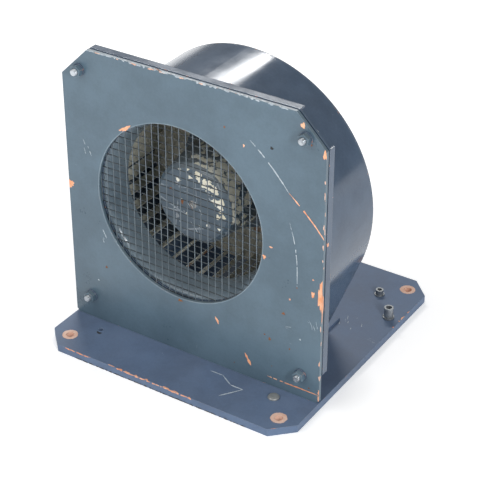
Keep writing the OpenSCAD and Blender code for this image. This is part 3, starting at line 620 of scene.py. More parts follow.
@dataclass(frozen=True)
class Lathe:
    """Round pieces, hexagons and threads along one axis, in millimetres."""

    segments: int = 48

    def turned(
        self, name: str, start: Vector, axis: Vector, outline: Sequence[tuple[float, float]]
    ) -> bpy.types.Object:
        """Turns an outline of (distance, radius) pairs round an axis.

        Args:
            name: The piece's name.
            start: A point on the axis, in metres.
            axis: The axis's direction.
            outline: Distances along the axis and radii, in millimetres.

        Returns:
            The piece.
        """
        turns = [2 * math.pi * i / self.segments for i in range(self.segments)]
        rings = [[along(start, axis, d * MM, r * MM, turn) for turn in turns] for d, r in outline]
        return rings_mesh(name, rings)

    def thread(
        self, name: str, start: Vector, axis: Vector, length: float, radius: float, pitch: float, depth: float
    ) -> bpy.types.Object:
        """Makes a length of thread with a chamfered tip at its far end.

        Args:
            name: The piece's name.
            start: Where the thread starts, in metres.
            axis: The direction towards the tip.
            length: The thread's length in millimetres.
            radius: The thread's outer radius in millimetres.
            pitch: The distance between turns in millimetres.
            depth: The depth of the thread in millimetres.

        Returns:
            The piece.
        """
        rows = max(8, round(length / pitch * 8))
        rings = []
        for row in range(rows + 1):
            distance = length * row / rows
            limit = radius - max(0.0, distance - (length - depth)) * 1.0
            ring = []
            for i in range(self.segments):
                turn = 2 * math.pi * i / self.segments
                phase = (distance / pitch + i / self.segments) % 1.0
                cut = depth * (1 - abs(2 * phase - 1))
                ring.append(along(start, axis, distance * MM, min(limit, radius - cut) * MM, turn))
            rings.append(ring)
        return rings_mesh(name, rings)

    def nut(
        self,
        name: str,
        start: Vector,
        axis: Vector,
        height: float,
        flats: float,
        bore: float,
        turn: float = 0.0,
        drop: float = 0.5,
    ) -> bpy.types.Object:
        """Makes a hexagonal nut or head whose corners are chamfered at the far end.

        Args:
            name: The piece's name.
            start: The middle of its seat, in metres.
            axis: The direction from the seat to the far face.
            height: Its height in millimetres.
            flats: Its width across the flats in millimetres.
            bore: The hole's diameter in millimetres, or 0 for a head.
            turn: The angle of a corner, in radians.
            drop: The slope of the chamfer.

        Returns:
            The piece.
        """
        count = 72
        land = flats / 2 * 0.96
        rows: list[list[Point]] = [[] for _ in range(6)]
        for i in range(count):
            angle = 2 * math.pi * i / count
            corner = flats / 2 / math.cos((angle + math.pi / 6) % (math.pi / 3) - math.pi / 6)
            fall = (corner - land) * drop
            for row, (distance, radius) in enumerate(
                (
                    (height - 0.4, bore / 2),
                    (height, bore / 2 + 0.4),
                    (height, land),
                    (height - fall, corner),
                    (0.0, corner),
                    (0.0, bore / 2),
                )
            ):
                rows[row].append(along(start, axis, distance * MM, max(radius, 0.001) * MM, angle + turn))
        return rings_mesh(name, rows, closed_ends=False)


# ---------- sub-assemblies ----------


@dataclass
class Places:
    """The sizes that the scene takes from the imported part, in metres."""

    face_y: float
    axis: Vector

    @classmethod
    def read(cls) -> Places:
        """Reads the places from the nodes' boxes."""
        cover_low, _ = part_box("front_cover")
        cup_low, cup_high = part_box("wheel_cup")
        middle = (cup_low + cup_high) / 2
        return cls(
            face_y=cover_low.y,
            axis=Vector((middle.x, 0.0, middle.z)),
        )


@dataclass
class Dresser:
    """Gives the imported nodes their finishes."""

    nodes: dict[str, bpy.types.Object]
    effects: Effects

    def dress(self, finish: Paint | Metal | Plastic, names: Sequence[str]) -> bpy.types.Material:
        """Gives nodes one finish.

        Args:
            finish: The finish.
            names: The nodes' names.

        Returns:
            The finish's material.
        """
        material = finish.make(self.effects)
        for name in names:
            slots = self.nodes[name].data.materials
            if len(slots) == 0:
                slots.append(material)
            for i in range(len(slots)):
                slots[i] = material
        LOG.info("%s on %d nodes", finish.name, len(names))
        return material


@dataclass
class GuardMesh:
    """The welded wire mesh behind the cover: upright wires in front of level ones."""

    pitch: float = 9.4
    wire: float = 1.2
    width: float = 250.0
    sides: int = 8
    step: float = 4.7
    sway: float = 0.22
    wave_length: float = 31.0
    wander: float = 0.04
    holds_course: float = 0.85
    seed: int = 7

    def build(self, places: Places, bright: bpy.types.Material, shaded_level_finish: bpy.types.Material) -> None:
        """Builds both layers in place of their plain nodes.

        Args:
            places: Where the part's main pieces are.
            bright: The finish of the upright wires.
            shaded_level_finish: The finish of the level wires, a darker copy of the upright wires' finish as
                painted shade.
        """
        for name, node, upright, material in (
            ("guard_upright_wires", "mesh_uprights", True, bright),
            ("guard_level_wires", "mesh_levels", False, shaded_level_finish),
        ):
            low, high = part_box(node)
            piece = self._layer(name, places, (low.y + high.y) / 2, upright)
            piece.data.materials.append(material)
            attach(piece, "housing")
            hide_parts(node)
            LOG.info("built %s", name)

    def _layer(self, name: str, places: Places, depth: float, upright: bool) -> bpy.types.Object:
        """Builds one layer of wires.

        Args:
            name: The layer's name.
            places: Where the part's main pieces are.
            depth: The layer's place along Y, in metres.
            upright: Whether the wires stand up.

        Returns:
            The layer.
        """
        chance = random.Random(self.seed + upright)
        count = math.floor(self.width / self.pitch / 2)
        stops = round(self.width / self.step)
        wires = []
        for i in range(-count, count + 1):
            drift = 0.0
            rings = []
            phase = chance.uniform(0, 2 * math.pi)
            wave = chance.uniform(0.4, 1.0) * self.sway
            for k in range(stops + 1):
                run = -self.width / 2 + self.width * k / stops
                drift = self.holds_course * drift + chance.uniform(-self.wander, self.wander)
                off = i * self.pitch + wave * math.sin(phase + run / self.wave_length) + drift
                off = max(-self.width / 2 + self.wire, min(self.width / 2 - self.wire, off))
                side, up = (off, run) if upright else (run, off)
                middle = Vector((places.axis.x + side * MM, depth, places.axis.z + up * MM))
                heading = UP if upright else RIGHT
                rings.append(
                    [
                        along(middle, heading, 0.0, self.wire / 2 * MM, 2 * math.pi * s / self.sides)
                        for s in range(self.sides)
                    ]
                )
            wires.append(rings_mesh(f"wire_{i}", rings))
        layer = join(name, wires)
        layer.data.shade_smooth()
        return layer


@dataclass
class CoverFasteners:
    """Studs, washers and nuts that hold the front cover, painted with it."""

    thread: float = 8.0
    pitch: float = 1.25
    flats: float = 13.0
    nut_height: float = 6.5
    washer_height: float = 1.6
    head_height: float = 5.3
    thread_depth: float = 0.55
    soft_below: float = 28.0
    turns: tuple[float, ...] = (0.35, 0.12, 0.5, 0.22)

    def build(self, places: Places, paint: bpy.types.Material, tip: bpy.types.Material) -> None:
        """Builds the nuts and the threaded ends in place of their plain nodes.

        Args:
            places: Where the part's main pieces are.
            paint: The finish of the nuts.
            tip: The finish of the studs' worn ends.
        """
        low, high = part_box("cover_nuts")
        reach = self.flats / 2 * MM
        seat = places.face_y - self.washer_height * MM
        lathe = Lathe()
        nuts, ends = [], []
        stud_low, stud_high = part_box("cover_studs")
        corners = [(x, z) for x in (low.x, high.x) for z in (low.z, high.z)]
        across = self.flats / math.cos(math.pi / 6) / 2 * MM
        for (x, z), turn in zip(corners, self.turns, strict=True):
            middle_x = x + (across if x == low.x else -across)
            middle_z = z + (reach if z == low.z else -reach)
            start = Vector((middle_x, seat, middle_z))
            out = Vector((0, -1, 0))
            nuts.append(lathe.nut("nut", start, out, self.nut_height, self.flats, self.thread, turn))
            length = (seat - stud_low.y) / MM
            depth = self.pitch * self.thread_depth
            ends.append(
                lathe.thread("stud_end", start, out, length, self.thread / 2, self.pitch, depth)
            )
            shank = Vector((middle_x, stud_high.y, middle_z))
            ends.append(lathe.nut("stud_head", shank, out, self.head_height, self.flats, 0.0, turn))
            ends.append(
                lathe.turned(
                    "stud_shank",
                    shank,
                    out,
                    [(self.head_height - 0.1, self.thread / 2), ((stud_high.y - seat) / MM, self.thread / 2)],
                )
            )
        for name, pieces, node, material in (
            ("cover_hex_nuts", nuts, "cover_nuts", paint),
            ("threaded_studs", ends, "cover_studs", tip),
        ):
            piece = smooth(join(name, pieces), self.soft_below)
            piece.data.materials.append(material)
            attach(piece, "housing")
            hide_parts(node)
            LOG.info("built %s", name)


class Side(Enum):
    """An edge of a plate's side, as a person in front of it sees it."""

    LEFT = "left"
    RIGHT = "right"
    TOP = "top"
    BOTTOM = "bottom"


@dataclass(frozen=True)
class Surface:
    """A flat side of a plate, with its outline and a round landmark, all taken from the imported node."""

    corner: Vector
    across: Vector
    up: Vector
    outline: tuple[Vector, ...]
    middle: Vector
    radius: float
    lift: float = 0.05 * MM

    @classmethod
    def of(
        cls, node: bpy.types.Object, across: Vector, up: Vector, middle: Vector, opening: bool = False
    ) -> Surface:
        """Reads the side of a node that faces the way across × up.

        Args:
            node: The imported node.
            across: The direction to the right along the side.
            up: The direction up along the side.
            middle: A point in space whose foot on the side is the round landmark's middle.
            opening: Whether the landmark is a hole, instead of the side's own round edge.

        Returns:
            The side.
        """
        out = across.cross(up)
        spots = [vertex.co for vertex in node.data.vertices]
        level = max(spot.dot(out) for spot in spots)
        flat = [Vector((s.dot(across), s.dot(up))) for s in spots if level - s.dot(out) < FLATNESS]
        first = Vector((min(s.x for s in flat), min(s.y for s in flat)))
        flat = [s - first for s in flat]
        hull = [flat[i] for i in convex_hull_2d(flat)]
        if sum(a.cross(b) for a, b in zip(hull, hull[1:] + hull[:1], strict=True)) < 0:
            hull.reverse()
        foot = Vector((middle.dot(across), middle.dot(up))) - first
        reaches = [(s - foot).length for s in flat]
        corner = across * first.x + up * first.y + out * level
        return cls(corner, across, up, tuple(hull), foot, min(reaches) if opening else max(reaches))

    @property
    def width(self) -> float:
        """The side's length from left to right."""
        return max(spot.x for spot in self.outline)

    @property
    def height(self) -> float:
        """The side's length from bottom to top."""
        return max(spot.y for spot in self.outline)

    def clock(self, hour: float, reach: float) -> Vector:
        """Gives a place by its hour on a clock face and its distance, in radii of the round landmark."""
        turn = math.pi / 2 - hour * math.pi / 6
        return self.middle + Vector((math.cos(turn), math.sin(turn))) * reach * self.radius

    def edge(self, side: Side, share: float, inset: float = 1.0) -> Vector:
        """Gives a place beside an edge.

        Args:
            side: The edge.
            share: How far along the edge, from its left or its lower end.
            inset: How far in from the edge, in millimetres.

        Returns:
            The place.
        """
        step = inset * MM
        return {
            Side.LEFT: Vector((step, share * self.height)),
            Side.RIGHT: Vector((self.width - step, share * self.height)),
            Side.BOTTOM: Vector((share * self.width, step)),
            Side.TOP: Vector((share * self.width, self.height - step)),
        }[side]

    def cut_corner(self) -> tuple[Vector, Vector]:
        """Gives the upper and the lower end of the cut across the upper right corner."""
        upper = max(self.outline, key=lambda spot: (round(spot.y, 4), spot.x))
        lower = max(self.outline, key=lambda spot: (round(spot.x, 4), spot.y))
        return upper.copy(), lower.copy()

    def lay(self, loop: Sequence[Vector], order: int) -> list[Point]:
        """Cuts a loop to the outline and lifts it just clear of the side.

        Args:
            loop: The loop's places on the side.
            order: The loop's turn, which sets its height, so that no two that overlap share a plane.

        Returns:
            The points in space, or none if the loop is off the side.
        """
        for start, stop in zip(self.outline, self.outline[1:] + self.outline[:1], strict=True):
            way = stop - start
            kept = []
            for i, spot in enumerate(loop):
                before, here = way.cross(loop[i - 1] - start), way.cross(spot - start)
                if (before < 0) != (here < 0):
                    kept.append(loop[i - 1].lerp(spot, before / (before - here)))
                if here >= 0:
                    kept.append(spot)
            loop = kept
        rise = self.across.cross(self.up) * self.lift * (1 + 4 * (order * GOLDEN % 1))
        return [tuple(self.corner + self.across * spot.x + self.up * spot.y + rise) for spot in loop]


@dataclass(frozen=True)
class OpeningEdge:
    """The rounded front edge of the cover's opening, where the paint is worn smooth, in a lighter copy of the
    cover's paint as a painted highlight.
    """

    rounding: float = 0.9
    hours: int = 180
    sides: int = 10

    def build(self, places: Places, face: Surface, material: bpy.types.Material) -> None:
        """Builds the edge as a thin round bead that is sunk into the cover's corner.

        Args:
            places: Where the part's main pieces are.
            face: The cover's face, whose landmark is the opening.
            material: A lighter, glossier copy of the cover's finish, worn smooth and carrying a painted
                highlight.
        """
        sink = self.rounding * MM * 0.8
        rings = []
        for i in range(self.hours + 1):
            turn = 2 * math.pi * i / self.hours
            out = Vector((math.cos(turn), 0.0, math.sin(turn)))
            heart = Vector((places.axis.x, places.face_y + sink, places.axis.z)) + out * (face.radius + sink)
            ring = []
            for k in range(self.sides):
                tilt = 2 * math.pi * k / self.sides
                way = out * math.cos(tilt) + BACK * math.sin(tilt)
                ring.append(heart + way * self.rounding * MM)
            rings.append(ring)
        piece = rings_mesh("opening_edge", rings, closed_ends=False)
        piece.data.shade_smooth()
        piece.data.materials.append(material)
        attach(piece, "housing")
        LOG.info("built %s", piece.name)


@dataclass(frozen=True)
class Chip:
    """A ragged spot with its two lengths in millimetres."""

    layer: Layer
    place: Vector
    wide: float
    tall: float
    turn: float = 0.0

    def shapes(self, chance: random.Random) -> list[list[Vector]]:
        """Draws the spot's outline as one ragged loop."""
        count = 22
        phase = chance.uniform(0, 2 * math.pi)
        lean = Matrix.Rotation(self.turn, 2)
        loop = []
        for i in range(count):
            angle = 2 * math.pi * i / count
            reach = 0.5 * MM * (1 + 0.22 * math.sin(3 * angle + phase) + chance.uniform(-0.24, 0.24))
            way = Vector((self.wide * math.cos(angle), self.tall * math.sin(angle)))
            loop.append(self.place + lean @ way * reach)
        return [loop]


@dataclass(frozen=True)
class Scratch:
    """A line from one place to another that thins out at both ends."""

    layer: Layer
    start: Vector
    end: Vector
    width: float = 0.8
    bow: float = 0.0
    gaps: float = 0.2

    def shapes(self, chance: random.Random) -> list[list[Vector]]:
        """Draws the line as short four-cornered dashes, some of them left out."""
        whole = self.end - self.start
        side = Vector((-whole.y, whole.x)).normalized()
        steps = max(4, round(whole.length / (2.2 * MM)))
        middles, halves = [], []
        drift = 0.0
        for i in range(steps + 1):
            share = i / steps
            drift = 0.8 * drift + chance.uniform(-0.12, 0.12) * MM
            arch = 4 * share * (1 - share) * self.bow * whole.length
            middles.append(self.start + whole * share + side * (arch + drift))
            taper = min(1.0, 0.25 + 4 * share, 0.25 + 4 * (1 - share))
            halves.append(self.width * MM / 2 * taper * chance.uniform(0.45, 1.3))
        dashes = []
        missing = False
        for i in range(steps):
            missing = chance.random() < (0.45 if missing else self.gaps)
            if missing:
                continue
            (a, b), (ra, rb) = middles[i : i + 2], halves[i : i + 2]
            dashes.append([a - side * ra, b - side * rb, b + side * rb, a + side * ra])
        return dashes


@dataclass
class Wear:
    """The marks in the paint. A few stand by a landmark of their plate, and the seed scatters the rest."""

    materials: dict[Layer, bpy.types.Material]
    nodes: dict[str, bpy.types.Object]
    fixings: dict[str, float]
    seed: int = 11
    knock: float = 0.4
    scuffs: int = 12
    rim_dust_and_sheen: int = 30
    ring_points: int = 48
    primer_ring_r: float = 9.8
    primer_depth: float = 8.0

    def build(self, places: Places) -> None:
        """Builds the marks of both plates and of the wheel's cup.

        Args:
            places: Where the part's main pieces are.
        """
        chance = random.Random(self.seed)
        cover, base = self.nodes["front_cover"], self.nodes["base_plate"]
        face = Surface.of(cover, RIGHT, UP, places.axis, opening=True)
        top = Surface.of(cover, RIGHT, BACK, places.axis)
        side = Surface.of(cover, BACK, UP, places.axis)
        deck = Surface.of(base, RIGHT, BACK, places.axis)
        lip = Surface.of(base, RIGHT, UP, places.axis)
        cup = Surface.of(self.nodes["wheel_cup"], RIGHT, UP, places.axis)
        self._lay("cover_face", face, self._cover_face(face, chance), chance)
        self._lay("cover_top", top, self._cover_top(top, chance), chance)
        self._lay("cover_side", side, self._cover_side(side, chance), chance)
        self._lay("base_top", deck, self._base_top(deck, places, chance), chance)
        self._lay("base_front", lip, self._base_front(lip, chance), chance)
        self._rings(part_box("base_plate"), chance)
        self._lay("cup_face", cup, self._cup_face(cup, chance), chance, "rotor")

    @staticmethod
    def _run(
        surface: Surface,
        layer: Layer,
        side: Side,
        ends: tuple[float, float],
        gap: float,
        chance: random.Random,
    ) -> list[Chip]:
        """Strews small chips along a stretch of an edge.

        Args:
            surface: The side that they are on.
            layer: What they lay bare.
            side: The edge.
            ends: The stretch, as shares of the edge.
            gap: The mean distance between chips, as a share of the edge.
            chance: The source of their places and sizes.

        Returns:
            The chips.
        """
        chips = []
        share = ends[0]
        level = side in (Side.TOP, Side.BOTTOM)
        while share < ends[1]:
            long, short = chance.uniform(2, 9), chance.uniform(1.2, 3.0)
            size = (long, short) if level else (short, long)
            chips.append(Chip(layer, surface.edge(side, share, 0.4), *size))
            share += gap * chance.uniform(0.5, 1.6)
        return chips

    @staticmethod
    def _flecks(place: Vector, count: int, spread: float, chance: random.Random) -> list[Scratch]:
        """Strews short pale scratches round a place, all leaning the same way.

        Args:
            place: The middle of the patch.
            count: How many.
            spread: The patch's size in millimetres.
            chance: The source of their places and lengths.

        Returns:
            The scratches.
        """
        found = []
        for _ in range(count):
            start = place + Vector((chance.uniform(-0.5, 0.5), chance.uniform(-0.5, 0.5))) * spread * MM
            way = Vector((chance.uniform(0.2, 0.5), -1.0)) * chance.uniform(3, 8) * MM
            found.append(Scratch(Layer.SCRATCH, start, start + way, chance.uniform(0.5, 0.9), 0.0, 0.1))
        return found

    def _cover_face(self, face: Surface, chance: random.Random) -> list[Chip | Scratch]:
        """The marks on the cover's face, by their hour round the opening or by an edge."""
        primer, rust, grime = Layer.PRIMER, Layer.RUST, Layer.GRIME
        cut_high, cut_low = face.cut_corner()
        gouge_from, gouge_to = face.clock(1.25, 1.4), face.clock(2.75, 1.75)
        halfway = (gouge_from + gouge_to) / 2
        marks: list[Chip | Scratch] = [
            # A gouge falls to the right edge, pale at first and then down to the primer
            Scratch(Layer.SCRATCH, gouge_from, halfway, 1.6, 0.03, 0.05),
            Scratch(primer, halfway, gouge_to, 1.6, 0.03, 0.05),
            Scratch(Layer.SCRATCH, face.clock(2.5, 1.35), face.clock(3.5, 1.45), 1.0, 0.05, 0.2),
            # Knocks on the edges and at both ends of the cut corner
            Chip(primer, face.edge(Side.RIGHT, self.knock, 2), 6, 36),
            Chip(primer, face.edge(Side.RIGHT, self.knock, 12), 4, 8),
            Chip(primer, face.edge(Side.LEFT, 0.5, 2), 9, 11),
            Chip(primer, cut_high.lerp(cut_low, 0.3) + Vector((-3, -3)) * MM, 5, 6),
            Chip(primer, cut_low + Vector((-2, -4)) * MM, 4, 10),
            # Chips on the opening's rim
            Chip(primer, face.clock(10.75, 1.02), 18, 4, math.radians(35)),
            Chip(primer, face.clock(3.25, 1.03), 4, 5),
            Chip(primer, face.clock(3, 1.1), 4, 2),
            Chip(rust, face.clock(6, 1.03), 6, 3),
            # Below the opening
            Chip(primer, face.clock(5.25, 1.2), 3, 9, math.radians(30)),
            Scratch(primer, face.clock(5, 1.6), face.clock(5, 1.75), 4.0, 0.0, 0.0),
            # Scraped level along the foot, and up the corner beside it
            Scratch(primer, face.edge(Side.BOTTOM, 0.8, 12), face.edge(Side.BOTTOM, 1.0, 12), 1.6, 0.0, 0.1),
            Scratch(primer, face.edge(Side.BOTTOM, 1.0, 2), face.edge(Side.BOTTOM, 1.0, 24), 3.0, 0.0, 0.1),
            # Single dark and rusty spots
            Chip(rust, face.clock(7.5, 1.35), 3, 3),
            Chip(rust, face.clock(4, 1.45), 4, 3),
            Chip(rust, face.clock(4.5, 1.55), 3, 4),
            Chip(grime, face.clock(1.5, 1.55), 4, 4),
            Chip(rust, face.clock(10.5, 1.95), 5, 5),
        ]
        marks += self._flecks(face.clock(9.75, 1.2), 5, 16, chance)
        marks += self._flecks(face.clock(8, 1.1), 5, 14, chance)
        marks += self._flecks(face.clock(3.75, 1.75), 6, 18, chance)
        # Pale dashes of bare metal and worn primer along the top edge: wear, and a painted highlight on the
        # upper arris.
        marks += self._run(face, Layer.SCRATCH, Side.TOP, (0.1, 0.9), 0.03, chance)
        marks += self._run(face, Layer.WORN, Side.TOP, (0.15, 0.55), 0.05, chance)
        marks += self._run(face, Layer.WORN, Side.RIGHT, (0.1, 0.85), 0.09, chance)
        marks += self._specks(face, chance)
        return marks

    @staticmethod
    def _specks(face: Surface, chance: random.Random) -> list[Chip]:
        """Small chips scattered over the face, most of them on its right, where it was handled."""
        wanted, clear_of_opening, reach_left, crowding = 14, 1.1, 0.9, 1.6
        found = []
        while len(found) < wanted:
            across = 1 - chance.random() ** crowding * reach_left
            place = Vector((across * face.width, chance.random() * face.height))
            if (place - face.middle).length > clear_of_opening * face.radius:
                size = chance.uniform(1.0, 2.6)
                layer = chance.choice((Layer.PRIMER, Layer.SCRATCH, Layer.RUST, Layer.RUST))
                found.append(Chip(layer, place, size, size * chance.uniform(0.7, 1.5)))
        return found

    def _cover_top(self, top: Surface, chance: random.Random) -> list[Chip | Scratch]:
        """Pale bare metal along the cover's upper edge, which is also a painted highlight on the arris, with
        one rusty knock.
        """
        chips = self._run(top, Layer.SCRATCH, Side.BOTTOM, (0.1, 0.9), 0.03, chance)
        return [*chips, Chip(Layer.RUST, top.edge(Side.BOTTOM, 0.35, 1.0), 9, 4)]

    def _cover_side(self, side: Surface, chance: random.Random) -> list[Chip | Scratch]:
        """The edge's side of the knock, and small chips along the same edge."""
        chips = self._run(side, Layer.WORN, Side.LEFT, (0.1, 0.85), 0.12, chance)
        return [*chips, Chip(Layer.PRIMER, side.edge(Side.LEFT, self.knock, 0.8), 4, 38)]

    def _base_top(self, deck: Surface, places: Places, chance: random.Random) -> list[Chip | Scratch]:
        """A crooked scratch and a dark spot in the strip in front of the cover, and flecks behind."""
        strip = places.face_y - deck.corner.y

        def spot(share: float, depth: float) -> Vector:
            """Gives a place in the strip, by its share of the width and of the strip's depth."""
            return Vector((share * deck.width, depth * strip))

        corners = (spot(0.6, 0.8), spot(0.65, 0.8), spot(0.7, 0.65), spot(0.75, 0.65), spot(0.7, 0.3))
        marks: list[Chip | Scratch] = [
            Scratch(Layer.SCRATCH, start, stop, 1.4, 0.0, 0.0) for start, stop in zip(corners, corners[1:])
        ]
        marks.append(Chip(Layer.GRIME, spot(0.15, 0.65), 7, 4))
        marks += self._flecks(deck.edge(Side.RIGHT, 0.65, 45), 8, 40, chance)
        marks += self._run(deck, Layer.PRIMER, Side.BOTTOM, (0.3, 0.65), 0.05, chance)
        marks += self._run(deck, Layer.PRIMER, Side.RIGHT, (0.7, 0.85), 0.04, chance)
        return marks

    def _base_front(self, lip: Surface, chance: random.Random) -> list[Chip | Scratch]:
        """Chips along the upper corner of the base plate's front edge, and dark dashes that darken it along
        its lower one.
        """
        chips = self._run(lip, Layer.PRIMER, Side.TOP, (0.05, 0.15), 0.025, chance)
        chips += self._run(lip, Layer.PRIMER, Side.TOP, (0.3, 0.65), 0.02, chance)
        # Dark dashes along the lower edge: the face is darker towards the floor.
        return chips + self._run(lip, Layer.GRIME, Side.BOTTOM, (0.1, 0.9), 0.02, chance)

    def _cup_face(self, cup: Surface, chance: random.Random) -> list[Chip | Scratch]:
        """Scuffs and spots strewn over the cup's face, and near-white patches along its upper right edge that
        are dust and a painted highlight.
        """
        marks: list[Chip | Scratch] = []
        for _ in range(self.scuffs):
            start = cup.clock(chance.uniform(0, 12), chance.uniform(0.05, 0.7))
            way = Vector((0.6, -1.0)) * chance.uniform(3, 9) * MM
            marks.append(Scratch(Layer.SCRATCH, start, start + way, chance.uniform(0.6, 1.3), 0.0, 0.15))
        for layer, count, size in ((Layer.RUST, 3, 5), (Layer.DUST, 8, 3)):
            for _ in range(count):
                spot = cup.clock(chance.uniform(0, 12), 0.85 * math.sqrt(chance.random()))
                wide, tall = (size * chance.uniform(0.5, 1.2) for _ in range(2))
                marks.append(Chip(layer, spot, wide, tall))
        # Near-white patches along the cup's upper right edge: dust, and a painted highlight where the light
        # falls.
        for _ in range(self.rim_dust_and_sheen):
            spot = cup.clock(chance.gauss(1.4, 1.1), 1.0 - 0.3 * chance.random() ** 1.5)
            size = chance.uniform(4, 9)
            marks.append(Chip(Layer.DUST, spot, size, size * chance.uniform(0.6, 1.2)))
        return marks

    def _rings(self, base: tuple[Vector, Vector], chance: random.Random) -> None:
        """Builds the worn primer that shows in a ring round each fixing hole and down its wall.

        Args:
            base: The base plate's box.
            chance: The source of the ragged edge.
        """
        low, high = base
        half_x, half_y = (self.fixings[f"spacing_{way}_mm"] / 2 * MM for way in "xy")
        hole_r, ring_r, count = self.fixings["hole_r_mm"] * MM, self.primer_ring_r * MM, self.ring_points
        lift, wall_depth = 0.05 * MM, self.primer_depth * MM
        middle = (low + high) / 2
        points: list[Point] = []
        faces: list[tuple[int, ...]] = []
        for x in (middle.x - half_x, middle.x + half_x):
            for y in (middle.y - half_y, middle.y + half_y):
                first = len(points)
                for i in range(count):
                    angle = 2 * math.pi * i / count
                    edge = ring_r * chance.uniform(0.95, 1.03)
                    for reach, rise in ((hole_r - lift, -wall_depth), (hole_r - lift, lift), (edge, lift)):
                        side, away = reach * math.cos(angle), reach * math.sin(angle)
                        points.append((x + side, y + away, high.z + rise))
                for i in range(count):
                    a, b = first + 3 * i, first + 3 * ((i + 1) % count)
                    faces.append((a, a + 1, b + 1, b))
                    faces.append((a + 1, a + 2, b + 2, b + 1))
        self._keep(add_mesh("fixing_hole_primer", points, faces), Layer.WORN)

    def _lay(
        self,
        name: str,
        surface: Surface,
        marks: Sequence[Chip | Scratch],
        chance: random.Random,
        body: str = "housing",
    ) -> None:
        """Builds one side's marks, one piece for each layer.

        Args:
            name: The side's name.
            surface: The side.
            marks: Its marks.
            chance: The source of their ragged outlines.
            body: The body that the side belongs to.
        """
        for layer in Layer:
            points: list[Point] = []
            faces: list[tuple[int, ...]] = []
            for order, mark in enumerate(marks):
                if mark.layer is not layer:
                    continue
                for loop in mark.shapes(chance):
                    laid = surface.lay(loop, order)
                    if len(laid) > 2:
                        faces.append(tuple(range(len(points), len(points) + len(laid))))
                        points.extend(laid)
            if faces:
                self._keep(add_mesh(f"{name}_{layer.value}", points, faces), layer, body)

    def _keep(self, piece: bpy.types.Object, layer: Layer, body: str = "housing") -> None:
        """Gives a piece its layer's material and lets it ride on a body."""
        piece.data.materials.append(self.materials[layer])
        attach(piece, body)
        LOG.info("built %s", piece.name)


@dataclass
class FlankDustAndSheen:
    """Dust on the upper right of the cup's long flank, in ragged patches, which are also a painted highlight
    where the overhead light falls on the flank.
    """

    shoulder_r: float = 51.5
    root_r: float = 63.0
    shoulder_depth: float = 5.0
    root_depth: float = 88.0
    patches: int = 190
    heading: float = 42.0
    spread: float = 32.0
    deepest: float = 0.7
    points: int = 12
    lift: float = 0.3
    seed: int = 23

    def build(self, places: Places, material: bpy.types.Material) -> None:
        """Builds the patches as one piece that turns with the wheel.

        Args:
            places: Where the part's main pieces are.
            material: The finish of the dust, brightened as a painted highlight.
        """
        chance = random.Random(self.seed)
        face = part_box("wheel_cup")[0].y
        corners: list[Point] = []
        faces: list[tuple[int, ...]] = []
        for _ in range(self.patches):
            middle = math.radians(chance.gauss(self.heading, self.spread))
            depth = chance.random() ** 1.3 * self.deepest
            size = chance.uniform(2.0, 5.0)
            first = len(corners)
            for i in range(self.points):
                angle = 2 * math.pi * i / self.points
                reach = size * chance.uniform(0.6, 1.25)
                share = max(0.0, min(1.0, depth + reach * math.sin(angle) / self.root_depth))
                radius = self.shoulder_r + (self.root_r - self.shoulder_r) * share + self.lift
                turn = middle + reach * math.cos(angle) / radius
                back = self.shoulder_depth + (self.root_depth - self.shoulder_depth) * share
                corners.append(
                    (
                        places.axis.x + radius * MM * math.cos(turn),
                        face + back * MM,
                        places.axis.z + radius * MM * math.sin(turn),
                    )
                )
            faces.append(tuple(range(first, first + self.points)))
        piece = add_mesh("cup_flank_dust_and_sheen", corners, faces)
        piece.data.materials.append(material)
        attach(piece, "rotor")
        LOG.info("built %s", piece.name)


# ---------- studio ----------


@dataclass(frozen=True)
class SoftBox:
    """One rectangular light that faces a point."""

    name: str
    place: Point
    target: Point
    width: float
    height: float
    power: float
    roll: float = 0.0

    def build(self) -> None:
        """Adds the light."""
        lamp = bpy.data.lights.new(self.name, "AREA")
        lamp.shape = "RECTANGLE"
        lamp.size = self.width
        lamp.size_y = self.height
        lamp.energy = self.power
        holder = bpy.data.objects.new(self.name, lamp)
        bpy.context.scene.collection.objects.link(holder)
        facing = (Vector(self.target) - Vector(self.place)).to_track_quat("-Z", "Y").to_matrix().to_4x4()
        spin = Matrix.Rotation(math.radians(self.roll), 4, "Z")
        holder.matrix_world = Matrix.Translation(self.place) @ facing @ spin


